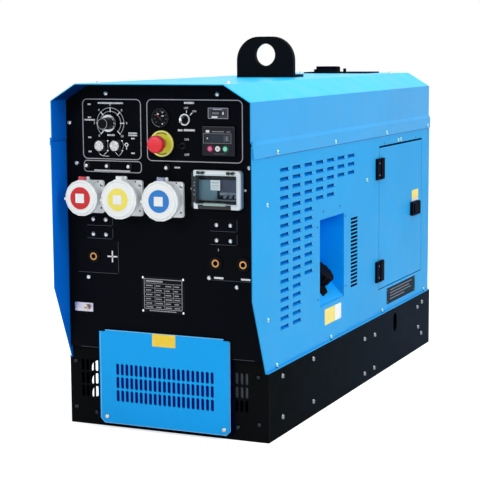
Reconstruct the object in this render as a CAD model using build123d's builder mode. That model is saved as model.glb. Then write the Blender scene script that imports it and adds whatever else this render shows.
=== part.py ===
"""Engine driven welder: a diesel engine and welding generator in a sheet steel canopy.

Frame: origin on the ground at the middle of the machine, +X to the right seen from the
control panel, +Y from the control panel towards the rear, +Z up. Millimetres.
"""
from build123d import *
import os
from math import cos, radians, sin, sqrt, tan, atan2, degrees

os.makedirs("parts", exist_ok=True)

# ---------------------------------------------------------------- driving dimensions
# canopy
canopy_length = 1730.0
canopy_width = 660.0
roof_height = 1061.0
sheet = 2.5
sheet_gap = 0.5
chamfer_across = 84.5
chamfer_down = 51.0
shoulder_inset = 2.5
lip_out = 3.0
lip_bottom = 849.0
lip_height = 38.0
joggle_height = 12.0
lip_front_cut = 12.0
front_bend_z = 442.0
front_tip_back = 95.0
panel_recess = 85.0

# base
base_height = 210.0
base_proud = 7.0
base_width = canopy_width + 2 * base_proud
base_front_back = 100.0
base_rear_in = 3.0
base_wall = 4.0
base_flange = 60.0
cross_beam_width = 60.0
cross_beam_height = 24.0
front_plate = 4.0
control_rise = 38.0
control_bottom = base_height + control_rise

# slotted grille pattern, shared by the intake cover and the base front
slot_width = 10.5
slot_height = 36.0
slot_pitch_x = 16.0
slot_pitch_z = 41.5
slot_rows = 3
slot_middle_z = 146.0

# louvres pressed into the side panels
louvre_width = 76.0
louvre_height = 13.0
louvre_pitch_y = 98.0
louvre_pitch_z = 28.0
louvre_top = 808.0
louvre_first_back = 244.4
louvre_rows = (18, 18, 13, 5, 5, 3, 3)
louvre_tab_in = 11.0

# service door in the right side
door_length = 502.0
door_height = 504.0
door_middle_y = 510.0
door_bottom = 304.0
door_gap = 3.0
door_top_gap = 7.0
door_flange = 18.0
hinge_leaf = 34.0
hinge_height = 74.0
hinge_thick = 8.0
hinge_pin_r = 3.0
hinge_knuckle_r = 5.5
hinge_low_z = 369.0
hinge_high_z = 735.0
running_gap = 0.05
latch_width = 96.0
latch_height = 51.0
latch_z = 554.0
latch_from_edge = 91.0

# filler pocket, filler neck and cap
pocket_length = 224.0
pocket_height = 281.0
pocket_depth = 120.0
pocket_middle_y = -216.0
pocket_bottom = 337.0
pocket_sheet = 2.0
pocket_flange = 12.0
neck_r = 30.0
neck_wall = 4.0
neck_y = -185.0
neck_in = 68.0
neck_stand = 26.0
cap_r = 42.0
cap_height = 30.0
tank_side_gap = 80.0
tank_width = canopy_width - 2 * tank_side_gap
tank_length = 600.0
tank_height = 172.0
tank_wall = 6.0
tank_front_back = 265.0

# roof fittings
eye_half_width = 105.0
eye_height = 139.0
eye_top = roof_height + eye_height
eye_hole_r = 38.0
eye_hole_down = 62.0
eye_hole_z = eye_top - eye_hole_down
eye_thick = 20.0
eye_y = 15.0
post_width = 30.0
post_depth = 50.0
post_in = 42.0
post_x = canopy_width / 2 - post_in
arch_beam_height = 50.0
arch_beam_down = 56.0
arch_beam_top = roof_height - arch_beam_down
eye_flange_back = 75.0
eye_flange_thick = 9.0
outlet_plate_half = 132.0
outlet_plate_depth = 150.0
outlet_plate_y = 770.0
outlet_plate_thick = 5.0
outlet_x = -62.0
outlet_collar_r = 50.0
outlet_collar_height = 10.0
rain_cap_r = 41.0
rain_cap_thick = 11.0
tail_pipe_r = 25.0

# control panel layout: (x, z) of each control's centre
control_sheet = 3.0
knob_at = (-171.0, 941.0)
gauge_at = (0.0, 960.0)
gauge_r = 28.5
key_at = (80.0, 955.0)
toggle_at = (72.0, 878.0)
estop_at = (2.0, 883.0)
estop_disc_r = 39.0
estop_head_r = 26.0
estop_travel = 5.0
meter_at = (189.0, 975.0)
meter_size = (65.0, 32.0)
controller_at = (191.0, 894.0)
controller_size = (105.0, 86.0)
button_r = 8.0
button_row_z = 872.0
button_pitch = 24.5
button_travel = 2.0
reset_places = ((-251.0, 812.0), (-181.0, 812.0), (-107.0, 812.0), (20.0, 812.0))
reset_r = 6.0
reset_travel = 4.0
connector_places = ((-204.5, 872.5), (-152.0, 873.5))
connector_cap_r = 16.0
connector_cap_depth = 11.0
connector_stand = 10.5
breaker_at = (185.0, 752.0)
breaker_size = (161.0, 115.0)
breaker_window_size = (132.0, 84.0)
breaker_frame_out = 18.0
breaker_module = 17.5
dinse_places = ((-234.0, 534.0), (177.0, 534.0), (266.0, 534.0))
dinse_bore_r = 6.5
dinse_contact_r = 14.0
dinse_body_r = 20.0
earth_at = (-262.0, 374.0)
socket_z = 718.0

# engine and generator, on one shaft line
shaft_z = 430.0
generator_r = 165.0
generator_front = -520.0
generator_back = -190.0
rotor_r = 135.0
crank_r = 25.0
engine_half = 135.0
engine_back = -160.0
engine_front = 380.0
engine_low = 300.0
engine_top = 560.0
fan_z = 540.0
fan_r = 180.0
fan_y = 545.0
crank_pulley_r = 50.0
fan_pulley_r = 40.0
pulley_y = 410.0
mount_x = 165.0
mount_r = 28.0
mount_top = 250.0
generator_mount_y = -430.0
engine_mount_y = 300.0
radiator_y = 620.0
radiator_width = 440.0
radiator_top = 740.0
bulkhead_y = -560.0

# screws
screw_head_r = 8.0
screw_head_h = 7.0
screw_dome_r = (screw_head_r**2 + screw_head_h**2) / (2 * screw_head_h)
screw_key_r = 3.4
screw_key_deep = 3.0
screw_r = 3.0
screw_length = 8.0
hole_gap = 0.3

# ---------------------------------------------------------------- derived places
half_width = canopy_width / 2
cover_half = half_width - shoulder_inset
lip_half = half_width + lip_out
front_y = -canopy_length / 2
rear_y = canopy_length / 2
inner_half = half_width - sheet
panel_y = front_y + panel_recess
base_half = base_width / 2
base_front_y = front_y + base_front_back
base_rear_y = rear_y - base_rear_in
side_top = lip_bottom + lip_height - 1.0
joggle_bottom = lip_bottom + lip_height
shoulder_z = roof_height - chamfer_down
shoulder_x = cover_half - chamfer_across
shoulder_angle = degrees(atan2(chamfer_down, chamfer_across))
front_tip_y = front_y + front_tip_back


def save(builder, name):
    """Label a finished piece and write its STEP file."""
    builder.part.label = name
    export_step(builder.part, f"parts/{name}.step")


def canopy_outline(inset, bottom):
    """Points across the canopy, inset inside the cover's outer face, from z = bottom up."""
    side = cover_half - inset
    low_corner = shoulder_z - inset * tan(radians(90 - shoulder_angle) / 2)
    high_corner = shoulder_x - inset * tan(radians(shoulder_angle) / 2)
    top = roof_height - inset
    return [
        (side, bottom),
        (side, low_corner),
        (high_corner, top),
        (-high_corner, top),
        (-side, low_corner),
        (-side, bottom),
    ]


def across(y):
    """Sketch plane square to Y: its x is X, its y is Z, and extrude goes towards -Y."""
    return Plane.XZ.offset(-y)


def facing(x, y, z, direction):
    """Plane at a point whose normal is the outward direction of the surface there."""
    return Plane(origin=(x, y, z), z_dir=direction)


# ---------------------------------------------------------------- screw places
lip_screw_y = (-683.0, -193.0, 331.0, 831.0)
lip_screw_z = 858.5
side_screws = ((-756.0, 709.0), (125.0, 707.0), (-754.0, 369.0))
pair_screws = ((470.0, 825.0), (501.0, 826.0))
low_screw_y = (-688.0, -226.0, 298.0, 805.0)
low_screw_up = sheet + screw_head_r + 0.5
low_screw_z = base_height + low_screw_up
base_side_screws = (
    (-660.0, 183.0), (-660.0, 57.0), (-404.0, 184.0), (-404.0, 46.0),
    (196.0, 151.0), (87.0, 156.0), (190.0, 33.0), (88.0, 33.0),
    (701.0, 167.0), (758.0, 178.0), (712.0, 87.0), (752.0, 56.0),
)
roof_screws = ((215.0, -770.0), (-215.0, -770.0), (186.0, 811.0), (-186.0, 811.0))
rear_screws = ((308.0, 708.0), (-308.0, 708.0), (308.0, 369.0), (-308.0, 369.0))
base_front_screws = ((303.0, 198.0), (-316.0, 198.0), (305.0, 54.0), (-316.0, 52.0), (236.0, 40.0), (-245.0, 40.0))
cover_screws = ((201.0, 34.0), (-196.0, 37.0))
control_screws = (
    (185.0, 1030.0), (-185.0, 1030.0), (-313.0, 941.0), (-290.0, 818.0), (285.0, 818.0),
    (-257.0, 468.0), (153.0, 489.0), (243.0, 466.0),
    (-237.0, 648.0), (-193.0, 648.0), (-237.0, 602.0), (-193.0, 602.0),
    (179.0, 648.0), (224.0, 648.0), (179.0, 602.0), (224.0, 602.0),
)

lip_screw_planes = [facing(s * lip_half, y, lip_screw_z, (s, 0, 0)) for s in (1, -1) for y in lip_screw_y]
side_screw_planes = [
    facing(s * half_width, y, z, (s, 0, 0))
    for s in (1, -1)
    for y, z in side_screws + pair_screws + tuple((low_y, low_screw_z) for low_y in low_screw_y)
]
base_screw_planes = [facing(s * base_half, y, z, (s, 0, 0)) for s in (1, -1) for y, z in base_side_screws]
roof_screw_planes = [facing(x, y, roof_height, (0, 0, 1)) for x, y in roof_screws]
rear_screw_planes = [facing(x, rear_y - 6.0, z, (0, 1, 0)) for x, z in rear_screws]
base_front_planes = [facing(x, base_front_y, z, (0, -1, 0)) for x, z in base_front_screws]
control_screw_planes = [facing(x, panel_y, z, (0, -1, 0)) for x, z in control_screws]
intake_out = 23.0
intake_sheet = 3.0
intake_x = 3.0
intake_half = 219.5
return_half = intake_half - 12.0
return_low = 8.0
intake_bottom = 16.0
intake_top = 309.0
intake_notch_x = 20.0
intake_notch_z = 6.0
intake_corner = 14.0
slot_columns = 21
grille_columns = (-292.0, -276.0, -260.0, -244.0, 233.0, 249.0, 265.0)
intake_y = base_front_y - intake_out
cover_screw_planes = [facing(x, intake_y, z, (0, -1, 0)) for x, z in cover_screws]


def screw_holes(planes):
    """Cut a clearance hole for a screw at each plane from the part being built."""
    with Locations(*planes):
        Cylinder(screw_r + hole_gap, 4 * base_wall, mode=Mode.SUBTRACT)


def slot_grid(columns):
    """Round ended vertical slots, at each x in columns and on every grille row."""
    for row in range(slot_rows):
        z = slot_middle_z + (row - (slot_rows - 1) / 2) * slot_pitch_z
        with Locations(*[(x, z) for x in columns]):
            SlotOverall(slot_height, slot_width, rotation=90)


# ---------------------------------------------------------------- base
beam_places = (generator_mount_y, engine_mount_y, radiator_y)
base_length = base_rear_y - (base_front_y + front_plate)
base_middle_y = (base_rear_y + base_front_y + front_plate) / 2
side_grille_y, side_grille_length = -562.0, 156.0
drain_slot_y, drain_slot_z = 430.0, 155.0
tray_y, tray_length = 425.0, 180.0
tray_inner_x = 138.0
tray_outer_x = base_half - base_flange

with BuildPart() as base_frame:
    with BuildSketch():
        with Locations((0, base_middle_y)):
            Rectangle(base_width, base_length)
    extrude(amount=base_height)
    with BuildSketch(Plane.XY.offset(base_wall)):
        with Locations((0, base_middle_y - base_wall / 2)):
            Rectangle(base_width - 2 * base_wall, base_length - base_wall)
    extrude(amount=base_height - 2 * base_wall, mode=Mode.SUBTRACT)
    with BuildSketch(Plane.XY.offset(base_height - base_wall)):
        with Locations((0, base_middle_y - base_flange / 2)):
            Rectangle(base_width - 2 * base_flange, base_length - base_flange)
    extrude(amount=base_wall, mode=Mode.SUBTRACT)
    with Locations(*[(0, y, base_height - base_wall - cross_beam_height / 2) for y in beam_places]):
        Box(base_width - 2 * base_wall, cross_beam_width, cross_beam_height)
    with Locations(((tray_inner_x + tray_outer_x) / 2, tray_y, base_height - base_wall / 2)):
        Box(tray_outer_x - tray_inner_x, tray_length, base_wall)
    with BuildSketch(Plane.YZ.offset(-base_half)):
        with Locations(*[(side_grille_y, slot_middle_z + row * slot_pitch_z) for row in (-2, -1, 0, 1)]):
            SlotOverall(side_grille_length, slot_height)
    extrude(amount=base_wall, mode=Mode.SUBTRACT)
    with BuildSketch(Plane.YZ.offset(base_half)):
        with Locations((drain_slot_y, drain_slot_z)):
            SlotOverall(68.0, 42.0, rotation=90)
    extrude(amount=-base_wall, mode=Mode.SUBTRACT)
    screw_holes(base_screw_planes)
save(base_frame, "base_frame")

front_plate_half = inner_half - 1.0
front_window_half = 190.0
front_window_low, front_window_high = 70.0, 225.0

with BuildPart() as base_front_panel:
    with BuildSketch(across(base_front_y + front_plate)):
        with Locations((0, base_height / 2)):
            Rectangle(base_width, base_height - 1.0)
        with Locations((0, (base_height - 1.0 + control_bottom) / 2)):
            Rectangle(2 * front_plate_half, control_bottom - base_height + 1.0)
        with Locations((0, (front_window_low + front_window_high) / 2)):
            Rectangle(2 * front_window_half, front_window_high - front_window_low, mode=Mode.SUBTRACT)
        Rectangle(2 * base_half, 1.0, align=(Align.CENTER, Align.MIN))
    extrude(amount=front_plate)
    with BuildSketch(across(base_front_y)):
        slot_grid(grille_columns)
    extrude(amount=-front_plate, mode=Mode.SUBTRACT)
    screw_holes(base_front_planes + cover_screw_planes)
save(base_front_panel, "base_front_panel")

with BuildPart() as intake_cover:
    with BuildSketch(across(intake_y + intake_sheet)):
        with Locations((intake_x, 0)):
            with BuildLine():
                Polyline(
                    (-intake_half + intake_corner, intake_bottom),
                    (intake_half - intake_corner, intake_bottom),
                    (intake_half, intake_bottom + intake_corner),
                    (intake_half, intake_top - intake_notch_z),
                    (intake_half - intake_notch_x, intake_top - intake_notch_z),
                    (intake_half - intake_notch_x, intake_top),
                    (-intake_half + intake_notch_x, intake_top),
                    (-intake_half + intake_notch_x, intake_top - intake_notch_z),
                    (-intake_half, intake_top - intake_notch_z),
                    (-intake_half, intake_bottom + intake_corner),
                    close=True,
                )
            make_face()
    extrude(amount=intake_sheet)
    with BuildSketch(across(base_front_y - 0.1)):
        with Locations((intake_x, (intake_bottom + intake_top) / 2)):
            Rectangle(2 * return_half, intake_top - intake_bottom - 2 * return_low)
            Rectangle(
                2 * (return_half - intake_sheet),
                intake_top - intake_bottom - 2 * (return_low + intake_sheet),
                mode=Mode.SUBTRACT,
            )
    extrude(amount=intake_out - intake_sheet)
    with BuildSketch(across(base_front_y)):
        with Locations((intake_x, control_bottom - 1.0)):
            Rectangle(3 * intake_half, intake_top, align=(Align.CENTER, Align.MIN))
    extrude(amount=base_front_y - panel_y + 0.1, mode=Mode.SUBTRACT)
    with BuildSketch(across(intake_y)):
        slot_grid([intake_x + (i - (slot_columns - 1) / 2) * slot_pitch_x for i in range(slot_columns)])
    extrude(amount=-intake_sheet, mode=Mode.SUBTRACT)
    screw_holes(cover_screw_planes)
save(intake_cover, "intake_cover")

# ---------------------------------------------------------------- canopy
cover_rear_y = base_rear_y
eye_slot_gap = 2.0
outlet_hole_r = tail_pipe_r + 5.0
roof_vent_half, roof_vent_depth = 130.0, 50.0
roof_vent_y = outlet_plate_y - 45.0


def cover_side(inset):
    """Half outline of the cover from its lip up to the side above the joggle."""
    return [
        (lip_half - inset, lip_bottom),
        (lip_half - inset, joggle_bottom),
        (cover_half - inset, joggle_bottom + joggle_height),
    ]


def cover_face(inset):
    """Closed outline of the cover, from lip to lip, inset from its outer face."""
    right = cover_side(inset)
    left = [(-x, z) for x, z in reversed(right)]
    top = canopy_outline(inset, joggle_bottom + joggle_height)[1:-1]
    Polygon(*right, *top, *left, align=None)


with BuildPart() as roof_cover:
    with BuildSketch(across(cover_rear_y)):
        cover_face(0.0)
    extrude(amount=cover_rear_y - front_y)
    with BuildSketch(across(cover_rear_y)):
        cover_face(sheet)
        Rectangle(2 * lip_half, lip_bottom, align=(Align.CENTER, Align.MIN))
    extrude(amount=cover_rear_y - front_y, mode=Mode.SUBTRACT)
    with Locations((0, front_y, lip_bottom)):
        Box(2 * lip_half, 4 * lip_front_cut, 1.5 * lip_height, mode=Mode.SUBTRACT)
    for s in (1, -1):
        with BuildSketch(Plane.YZ.offset(s * (lip_half - sheet))):
            with BuildLine():
                Polyline(
                    (front_y + 2 * lip_front_cut, lip_bottom),
                    (front_y + 2 * lip_front_cut, joggle_bottom + joggle_height),
                    (front_y, joggle_bottom + joggle_height),
                    (front_y + 0.6 * lip_front_cut, lip_bottom),
                    close=True,
                )
            make_face()
        extrude(amount=s * sheet)
    with Locations((0, front_y, lip_bottom)):
        Box(
            2 * (lip_half - sheet),
            lip_front_cut,
            side_top + sheet_gap - lip_bottom,
            align=(Align.CENTER, Align.MIN, Align.MIN),
            mode=Mode.SUBTRACT,
        )
    with BuildSketch(Plane.XY.offset(roof_height)):
        with Locations((0, eye_y)):
            Rectangle(2 * (eye_half_width + eye_slot_gap), eye_thick + 2 * eye_slot_gap)
        with Locations((outlet_x, outlet_plate_y)):
            Circle(outlet_hole_r)
        with Locations((0, roof_vent_y)):
            Rectangle(2 * roof_vent_half, roof_vent_depth)
    extrude(amount=-2 * sheet, mode=Mode.SUBTRACT)
    screw_holes(lip_screw_planes + roof_screw_planes)
save(roof_cover, "roof_cover")

louvre_y = [front_y + louvre_first_back + i * louvre_pitch_y for i in range(len(louvre_rows))]
vent_slots = 19
vent_slot_width = 68.0
vent_slot_height = 8.0
vent_slot_pitch = 12.7
vent_slot_y = -3.0
vent_slot_top = 592.0
foot_flange = 22.0
door_front_y = door_middle_y - door_length / 2
door_rear_y = door_middle_y + door_length / 2
side_face = [
    (front_y, side_top),
    (base_rear_y, side_top),
    (base_rear_y, base_height + sheet),
    (front_tip_y, base_height + sheet),
    (front_y, front_bend_z),
]


def louvre_tabs(side):
    """The pressed-in tab below each louvre slot of one side panel, hinged at its lower edge."""
    with BuildPart() as tabs:
        for y, rows in zip(louvre_y, louvre_rows):
            with BuildSketch(across(y + louvre_width / 2)):
                for row in range(rows):
                    low = louvre_top - louvre_height - row * louvre_pitch_z
                    Polygon(
                        (side * inner_half, low - sheet),
                        (side * half_width, low),
                        (side * (inner_half - louvre_tab_in), low + louvre_height - sheet),
                        (side * (inner_half - louvre_tab_in), low + louvre_height - 2 * sheet),
                        align=None,
                    )
            extrude(amount=louvre_width)
            for end_y in (y - louvre_width / 2 + sheet, y + louvre_width / 2):
                with BuildSketch(across(end_y)):
                    for row in range(rows):
                        low = louvre_top - louvre_height - row * louvre_pitch_z
                        Polygon(
                            (side * half_width, low),
                            (side * (inner_half - louvre_tab_in), low + louvre_height - sheet),
                            (side * inner_half, low + louvre_height),
                            (side * half_width, low + louvre_height),
                            align=None,
                        )
                extrude(amount=sheet)
    return tabs.part


def side_panel(side, service_side):
    """One canopy side: side is +1 for the right, -1 for the left."""
    with BuildPart() as panel:
        with BuildSketch(Plane.YZ.offset(side * half_width)):
            Polygon(*side_face, align=None)
            for y, rows in zip(louvre_y, louvre_rows):
                for row in range(rows):
                    with Locations((y, louvre_top - louvre_height / 2 - row * louvre_pitch_z)):
                        Rectangle(louvre_width, louvre_height, mode=Mode.SUBTRACT)
            if service_side:
                with Locations((door_middle_y, door_bottom - door_gap)):
                    Rectangle(
                        door_length + 2 * door_gap,
                        door_height + door_gap + door_top_gap,
                        align=(Align.CENTER, Align.MIN),
                        mode=Mode.SUBTRACT,
                    )
                with Locations((pocket_middle_y, pocket_bottom)):
                    Rectangle(pocket_length, pocket_height, align=(Align.CENTER, Align.MIN), mode=Mode.SUBTRACT)
                for i in range(vent_slots):
                    with Locations((vent_slot_y, vent_slot_top - vent_slot_height / 2 - i * vent_slot_pitch)):
                        Rectangle(vent_slot_width, vent_slot_height, mode=Mode.SUBTRACT)
        extrude(amount=-side * sheet)
        with BuildSketch(across(base_rear_y)):
            Polygon(
                (side * base_half, base_height + sheet),
                (side * base_half, base_height),
                (side * (inner_half - foot_flange), base_height),
                (side * (inner_half - foot_flange), base_height + sheet),
                align=None,
            )
        extrude(amount=base_rear_y - front_tip_y)
        with Locations((side * (inner_half - foot_flange / 2), base_front_y, base_height)):
            Box(foot_flange, 2 * (front_plate + sheet), 2 * sheet, mode=Mode.SUBTRACT)
        add(louvre_tabs(side))
        screw_holes([plane for plane in side_screw_planes + lip_screw_planes if plane.origin.X * side > 0])
    return panel


side_panel_right = side_panel(1, True)
save(side_panel_right, "side_panel_right")
side_panel_left = side_panel(-1, False)
save(side_panel_left, "side_panel_left")

rear_panel_y = rear_y - 6.0
rear_grille_x = [(i - 5.5) * 34.0 for i in range(12)]
rear_grille_z = [330.0 + i * 74.0 for i in range(6)]
panel_inset = sheet + sheet_gap

with BuildPart() as rear_panel:
    with BuildSketch(across(rear_panel_y)):
        Polygon(*canopy_outline(panel_inset, base_height + sheet), align=None)
        with Locations(*[(x, z) for x in rear_grille_x for z in rear_grille_z]):
            SlotOverall(58.0, 12.0, rotation=90, mode=Mode.SUBTRACT)
    extrude(amount=sheet)
    with Locations((0, rear_panel_y - foot_flange / 2, base_height + sheet / 2)):
        Box(2 * (inner_half - foot_flange) - 2.0, foot_flange, sheet)
    screw_holes(rear_screw_planes)
save(rear_panel, "rear_panel")

# ---------------------------------------------------------------- service door
hinge_y = door_front_y - door_gap / 2
hinge_x = half_width + hinge_knuckle_r + 0.5
hinge_places = [(hinge_x, hinge_y, z) for z in (hinge_low_z, hinge_high_z)]
knuckle = hinge_height / 3
knuckle_gap = 0.5
latch_y = door_rear_y - latch_from_edge
cup_face = 12.0
cup_wall = 2.0
cup_depth = 18.0
cup_length, cup_height = 76.0, 41.0
paddle_length, paddle_height, paddle_thick = 52.0, 34.0, 4.0
paddle_pin_r = 2.0
paddle_pin_x = half_width + cup_face - 2.5
paddle_pin_y = latch_y + cup_length / 2 - cup_wall - 5.0

with BuildPart() as side_door:
    with Locations((half_width, door_middle_y, door_bottom)):
        Box(door_flange, door_length, door_height, align=(Align.MAX, Align.CENTER, Align.MIN))
    with Locations((inner_half, door_middle_y, door_bottom + sheet)):
        Box(
            door_flange,
            door_length - 2 * sheet,
            door_height - 2 * sheet,
            align=(Align.MAX, Align.CENTER, Align.MIN),
            mode=Mode.SUBTRACT,
        )
    with Locations((half_width, latch_y, latch_z)):
        Box(4 * sheet, cup_length + 2 * sheet_gap, cup_height + 2 * sheet_gap, mode=Mode.SUBTRACT)
save(side_door, "side_door")


def hinge_half(y_side, middle_knuckle):
    """One leaf of each hinge: y_side is -1 for the canopy's leaf and +1 for the door's."""
    leaf_start = hinge_knuckle_r + knuckle_gap
    if middle_knuckle:
        spans = [(0.0, knuckle - 2 * knuckle_gap)]
    else:
        spans = [(s * knuckle, knuckle) for s in (1, -1)]
    with BuildPart() as leaf:
        with Locations(*[(half_width, y + y_side * leaf_start, z) for _, y, z in hinge_places]):
            Box(
                hinge_thick,
                hinge_leaf,
                hinge_height,
                align=(Align.MIN, Align.MIN if y_side > 0 else Align.MAX, Align.CENTER),
            )
        for offset, height in spans:
            with Locations(*[(x, y, z + offset) for x, y, z in hinge_places]):
                Cylinder(hinge_knuckle_r, height)
            with Locations(*[(half_width + knuckle_gap, y, z + offset) for _, y, z in hinge_places]):
                Box(
                    hinge_thick - knuckle_gap,
                    leaf_start + 1.0,
                    height,
                    align=(Align.MIN, Align.MIN if y_side > 0 else Align.MAX, Align.CENTER),
                )
        if middle_knuckle:
            with Locations(*hinge_places):
                Cylinder(hinge_pin_r + running_gap, hinge_height, mode=Mode.SUBTRACT)
        else:
            with Locations(*hinge_places):
                Cylinder(hinge_pin_r, hinge_height)
    return leaf


hinge_leaves = hinge_half(-1, False)
save(hinge_leaves, "hinge_leaves")

with BuildPart() as latch_cup:
    with Locations((half_width, latch_y, latch_z)):
        Box(cup_face, latch_width, latch_height, align=(Align.MIN, Align.CENTER, Align.CENTER))
        Box(cup_depth, cup_length, cup_height, align=(Align.MAX, Align.CENTER, Align.CENTER))
    fillet(latch_cup.edges().filter_by(Axis.X).group_by(SortBy.LENGTH)[0], 6.0)
    with Locations((half_width - cup_depth + cup_wall, latch_y, latch_z)):
        Box(
            cup_depth + cup_face,
            cup_length - 2 * cup_wall,
            cup_height - 2 * cup_wall,
            align=(Align.MIN, Align.CENTER, Align.CENTER),
            mode=Mode.SUBTRACT,
        )
    with Locations((paddle_pin_x, paddle_pin_y, latch_z)):
        Cylinder(paddle_pin_r + running_gap, cup_height - 1.0, mode=Mode.SUBTRACT)

with BuildPart() as door_fittings:
    add(hinge_half(1, True).part)
    add(latch_cup.part)
save(door_fittings, "door_fittings")

with BuildPart() as latch_paddle:
    with Locations((paddle_pin_x, paddle_pin_y + paddle_pin_r, latch_z)):
        Box(
            paddle_thick,
            paddle_length,
            paddle_height,
            align=(Align.CENTER, Align.MAX, Align.CENTER),
        )
    fillet(latch_paddle.edges().filter_by(Axis.Z), 1.5)
    with Locations((paddle_pin_x, paddle_pin_y, latch_z)):
        Cylinder(paddle_pin_r, cup_height - 2.0)
save(latch_paddle, "latch_paddle")

# ---------------------------------------------------------------- filler pocket, tank and cap
pocket_back_x = half_width - pocket_depth
floor_sum = half_width + pocket_bottom
neck_out = Vector(1, 0, 1).normalized()
neck_floor = Vector(half_width - neck_in, neck_y, pocket_bottom + neck_in)
neck_top = neck_floor + neck_out * neck_stand
neck_bend = neck_floor - neck_out * 75.0
tank_floor_z = base_wall
tank_low = Vector(neck_bend.X, neck_y, tank_floor_z + tank_height - tank_wall / 2)
tank_middle_y = front_y + tank_front_back + tank_length / 2


def pocket_section(inset):
    """Section of the pocket square to Y: back, top and a floor falling outwards at 45 degrees."""
    low = floor_sum + inset * sqrt(2)
    mouth = inner_half + inset
    back = pocket_back_x + inset
    top = pocket_bottom + pocket_height - inset
    Polygon((mouth, top), (back, top), (back, low - back), (mouth, low - mouth), align=None)


with BuildPart() as filler_pocket:
    with BuildSketch(across(pocket_middle_y + pocket_length / 2)):
        pocket_section(0.0)
    extrude(amount=pocket_length)
    with BuildSketch(Plane.YZ.offset(inner_half)):
        with Locations((pocket_middle_y, pocket_bottom + pocket_height / 2)):
            Rectangle(pocket_length + 2 * pocket_flange, pocket_height + 2 * pocket_flange)
    extrude(amount=-pocket_sheet)
    with BuildSketch(across(pocket_middle_y + pocket_length / 2 - pocket_sheet)):
        pocket_section(pocket_sheet)
    extrude(amount=pocket_length - 2 * pocket_sheet, mode=Mode.SUBTRACT)
    with BuildSketch(Plane(origin=neck_floor, z_dir=neck_out)):
        Circle(neck_r + 0.5)
    extrude(amount=3 * pocket_sheet, both=True, mode=Mode.SUBTRACT)
save(filler_pocket, "filler_pocket")

with BuildPart() as fuel_tank:
    with Locations((0, tank_middle_y, tank_floor_z)):
        Box(tank_width, tank_length, tank_height, align=(Align.CENTER, Align.CENTER, Align.MIN))
    fillet(fuel_tank.edges().filter_by(Axis.Z), 25.0)
    with BuildLine() as neck_path:
        FilletPolyline(neck_top, neck_bend, tank_low, radius=70.0)
    with BuildSketch(Plane(origin=neck_top, z_dir=-neck_out)):
        Circle(neck_r)
    sweep(path=neck_path.wire())
    with Locations((0, tank_middle_y, tank_floor_z + tank_wall)):
        Box(
            tank_width - 2 * tank_wall,
            tank_length - 2 * tank_wall,
            tank_height - 2 * tank_wall,
            align=(Align.CENTER, Align.CENTER, Align.MIN),
            mode=Mode.SUBTRACT,
        )
    with BuildLine() as bore_path:
        FilletPolyline(neck_top, neck_bend, tank_low - Vector(0, 0, 2 * tank_wall), radius=70.0)
    with BuildSketch(Plane(origin=neck_top, z_dir=-neck_out)):
        Circle(neck_r - neck_wall)
    sweep(path=bore_path.wire(), mode=Mode.SUBTRACT)
save(fuel_tank, "fuel_tank")

cap_lap = 14.0
cap_gap = 0.4
cap_plane = Plane(origin=neck_top - neck_out * cap_lap, z_dir=neck_out)

with BuildPart() as fuel_cap:
    with BuildSketch(cap_plane):
        Circle(cap_r)
        with PolarLocations(cap_r, 12):
            Circle(4.0, mode=Mode.SUBTRACT)
    extrude(amount=cap_height)
    fillet(fuel_cap.faces().sort_by(Axis(cap_plane.origin, neck_out))[-1].edges(), 2.0)
    with BuildSketch(cap_plane):
        Circle(neck_r + cap_gap)
    extrude(amount=cap_lap, mode=Mode.SUBTRACT)
save(fuel_cap, "fuel_cap")

# ---------------------------------------------------------------- lifting frame and roof fittings
post_height = arch_beam_top - arch_beam_height - base_height

with BuildPart() as lifting_frame:
    with BuildSketch(across(eye_y + post_depth / 2)):
        for s in (1, -1):
            with Locations((s * post_x, base_height)):
                Rectangle(post_width, post_height, align=(Align.CENTER, Align.MIN))
        with Locations((0, arch_beam_top - arch_beam_height)):
            Rectangle(2 * post_x + post_width, arch_beam_height, align=(Align.CENTER, Align.MIN))
    extrude(amount=post_depth)
    with BuildSketch(across(eye_y + eye_thick / 2)):
        with Locations((0, arch_beam_top)):
            Rectangle(2 * eye_half_width, eye_top - arch_beam_top, align=(Align.CENTER, Align.MIN))
    extrude(amount=eye_thick)
    fillet(lifting_frame.edges().filter_by(Axis.Y).group_by(Axis.Z)[-1], 82.0)
    with Locations((0, eye_y + eye_thick / 2, roof_height + sheet_gap)):
        Box(
            2 * eye_half_width,
            eye_flange_back,
            eye_flange_thick,
            align=(Align.CENTER, Align.MIN, Align.MIN),
        )
    with BuildSketch(across(eye_y + eye_thick)):
        with Locations((0, eye_hole_z)):
            Circle(eye_hole_r)
    extrude(amount=2 * eye_thick, mode=Mode.SUBTRACT)
save(lifting_frame, "lifting_frame")

plate_top = roof_height + outlet_plate_thick
ear_thick = 4.0
ear_r = 5.0
plate_bolt_x, plate_bolt_r, plate_bolt_height = 13.0, 6.0, 13.0
collar_top = plate_top + outlet_collar_height
rain_hinge_x = outlet_x + outlet_collar_r - ear_r
rain_hinge_z = collar_top + rain_cap_thick / 2
rain_knuckle = 26.0
rain_pin_r = 2.5

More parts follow.
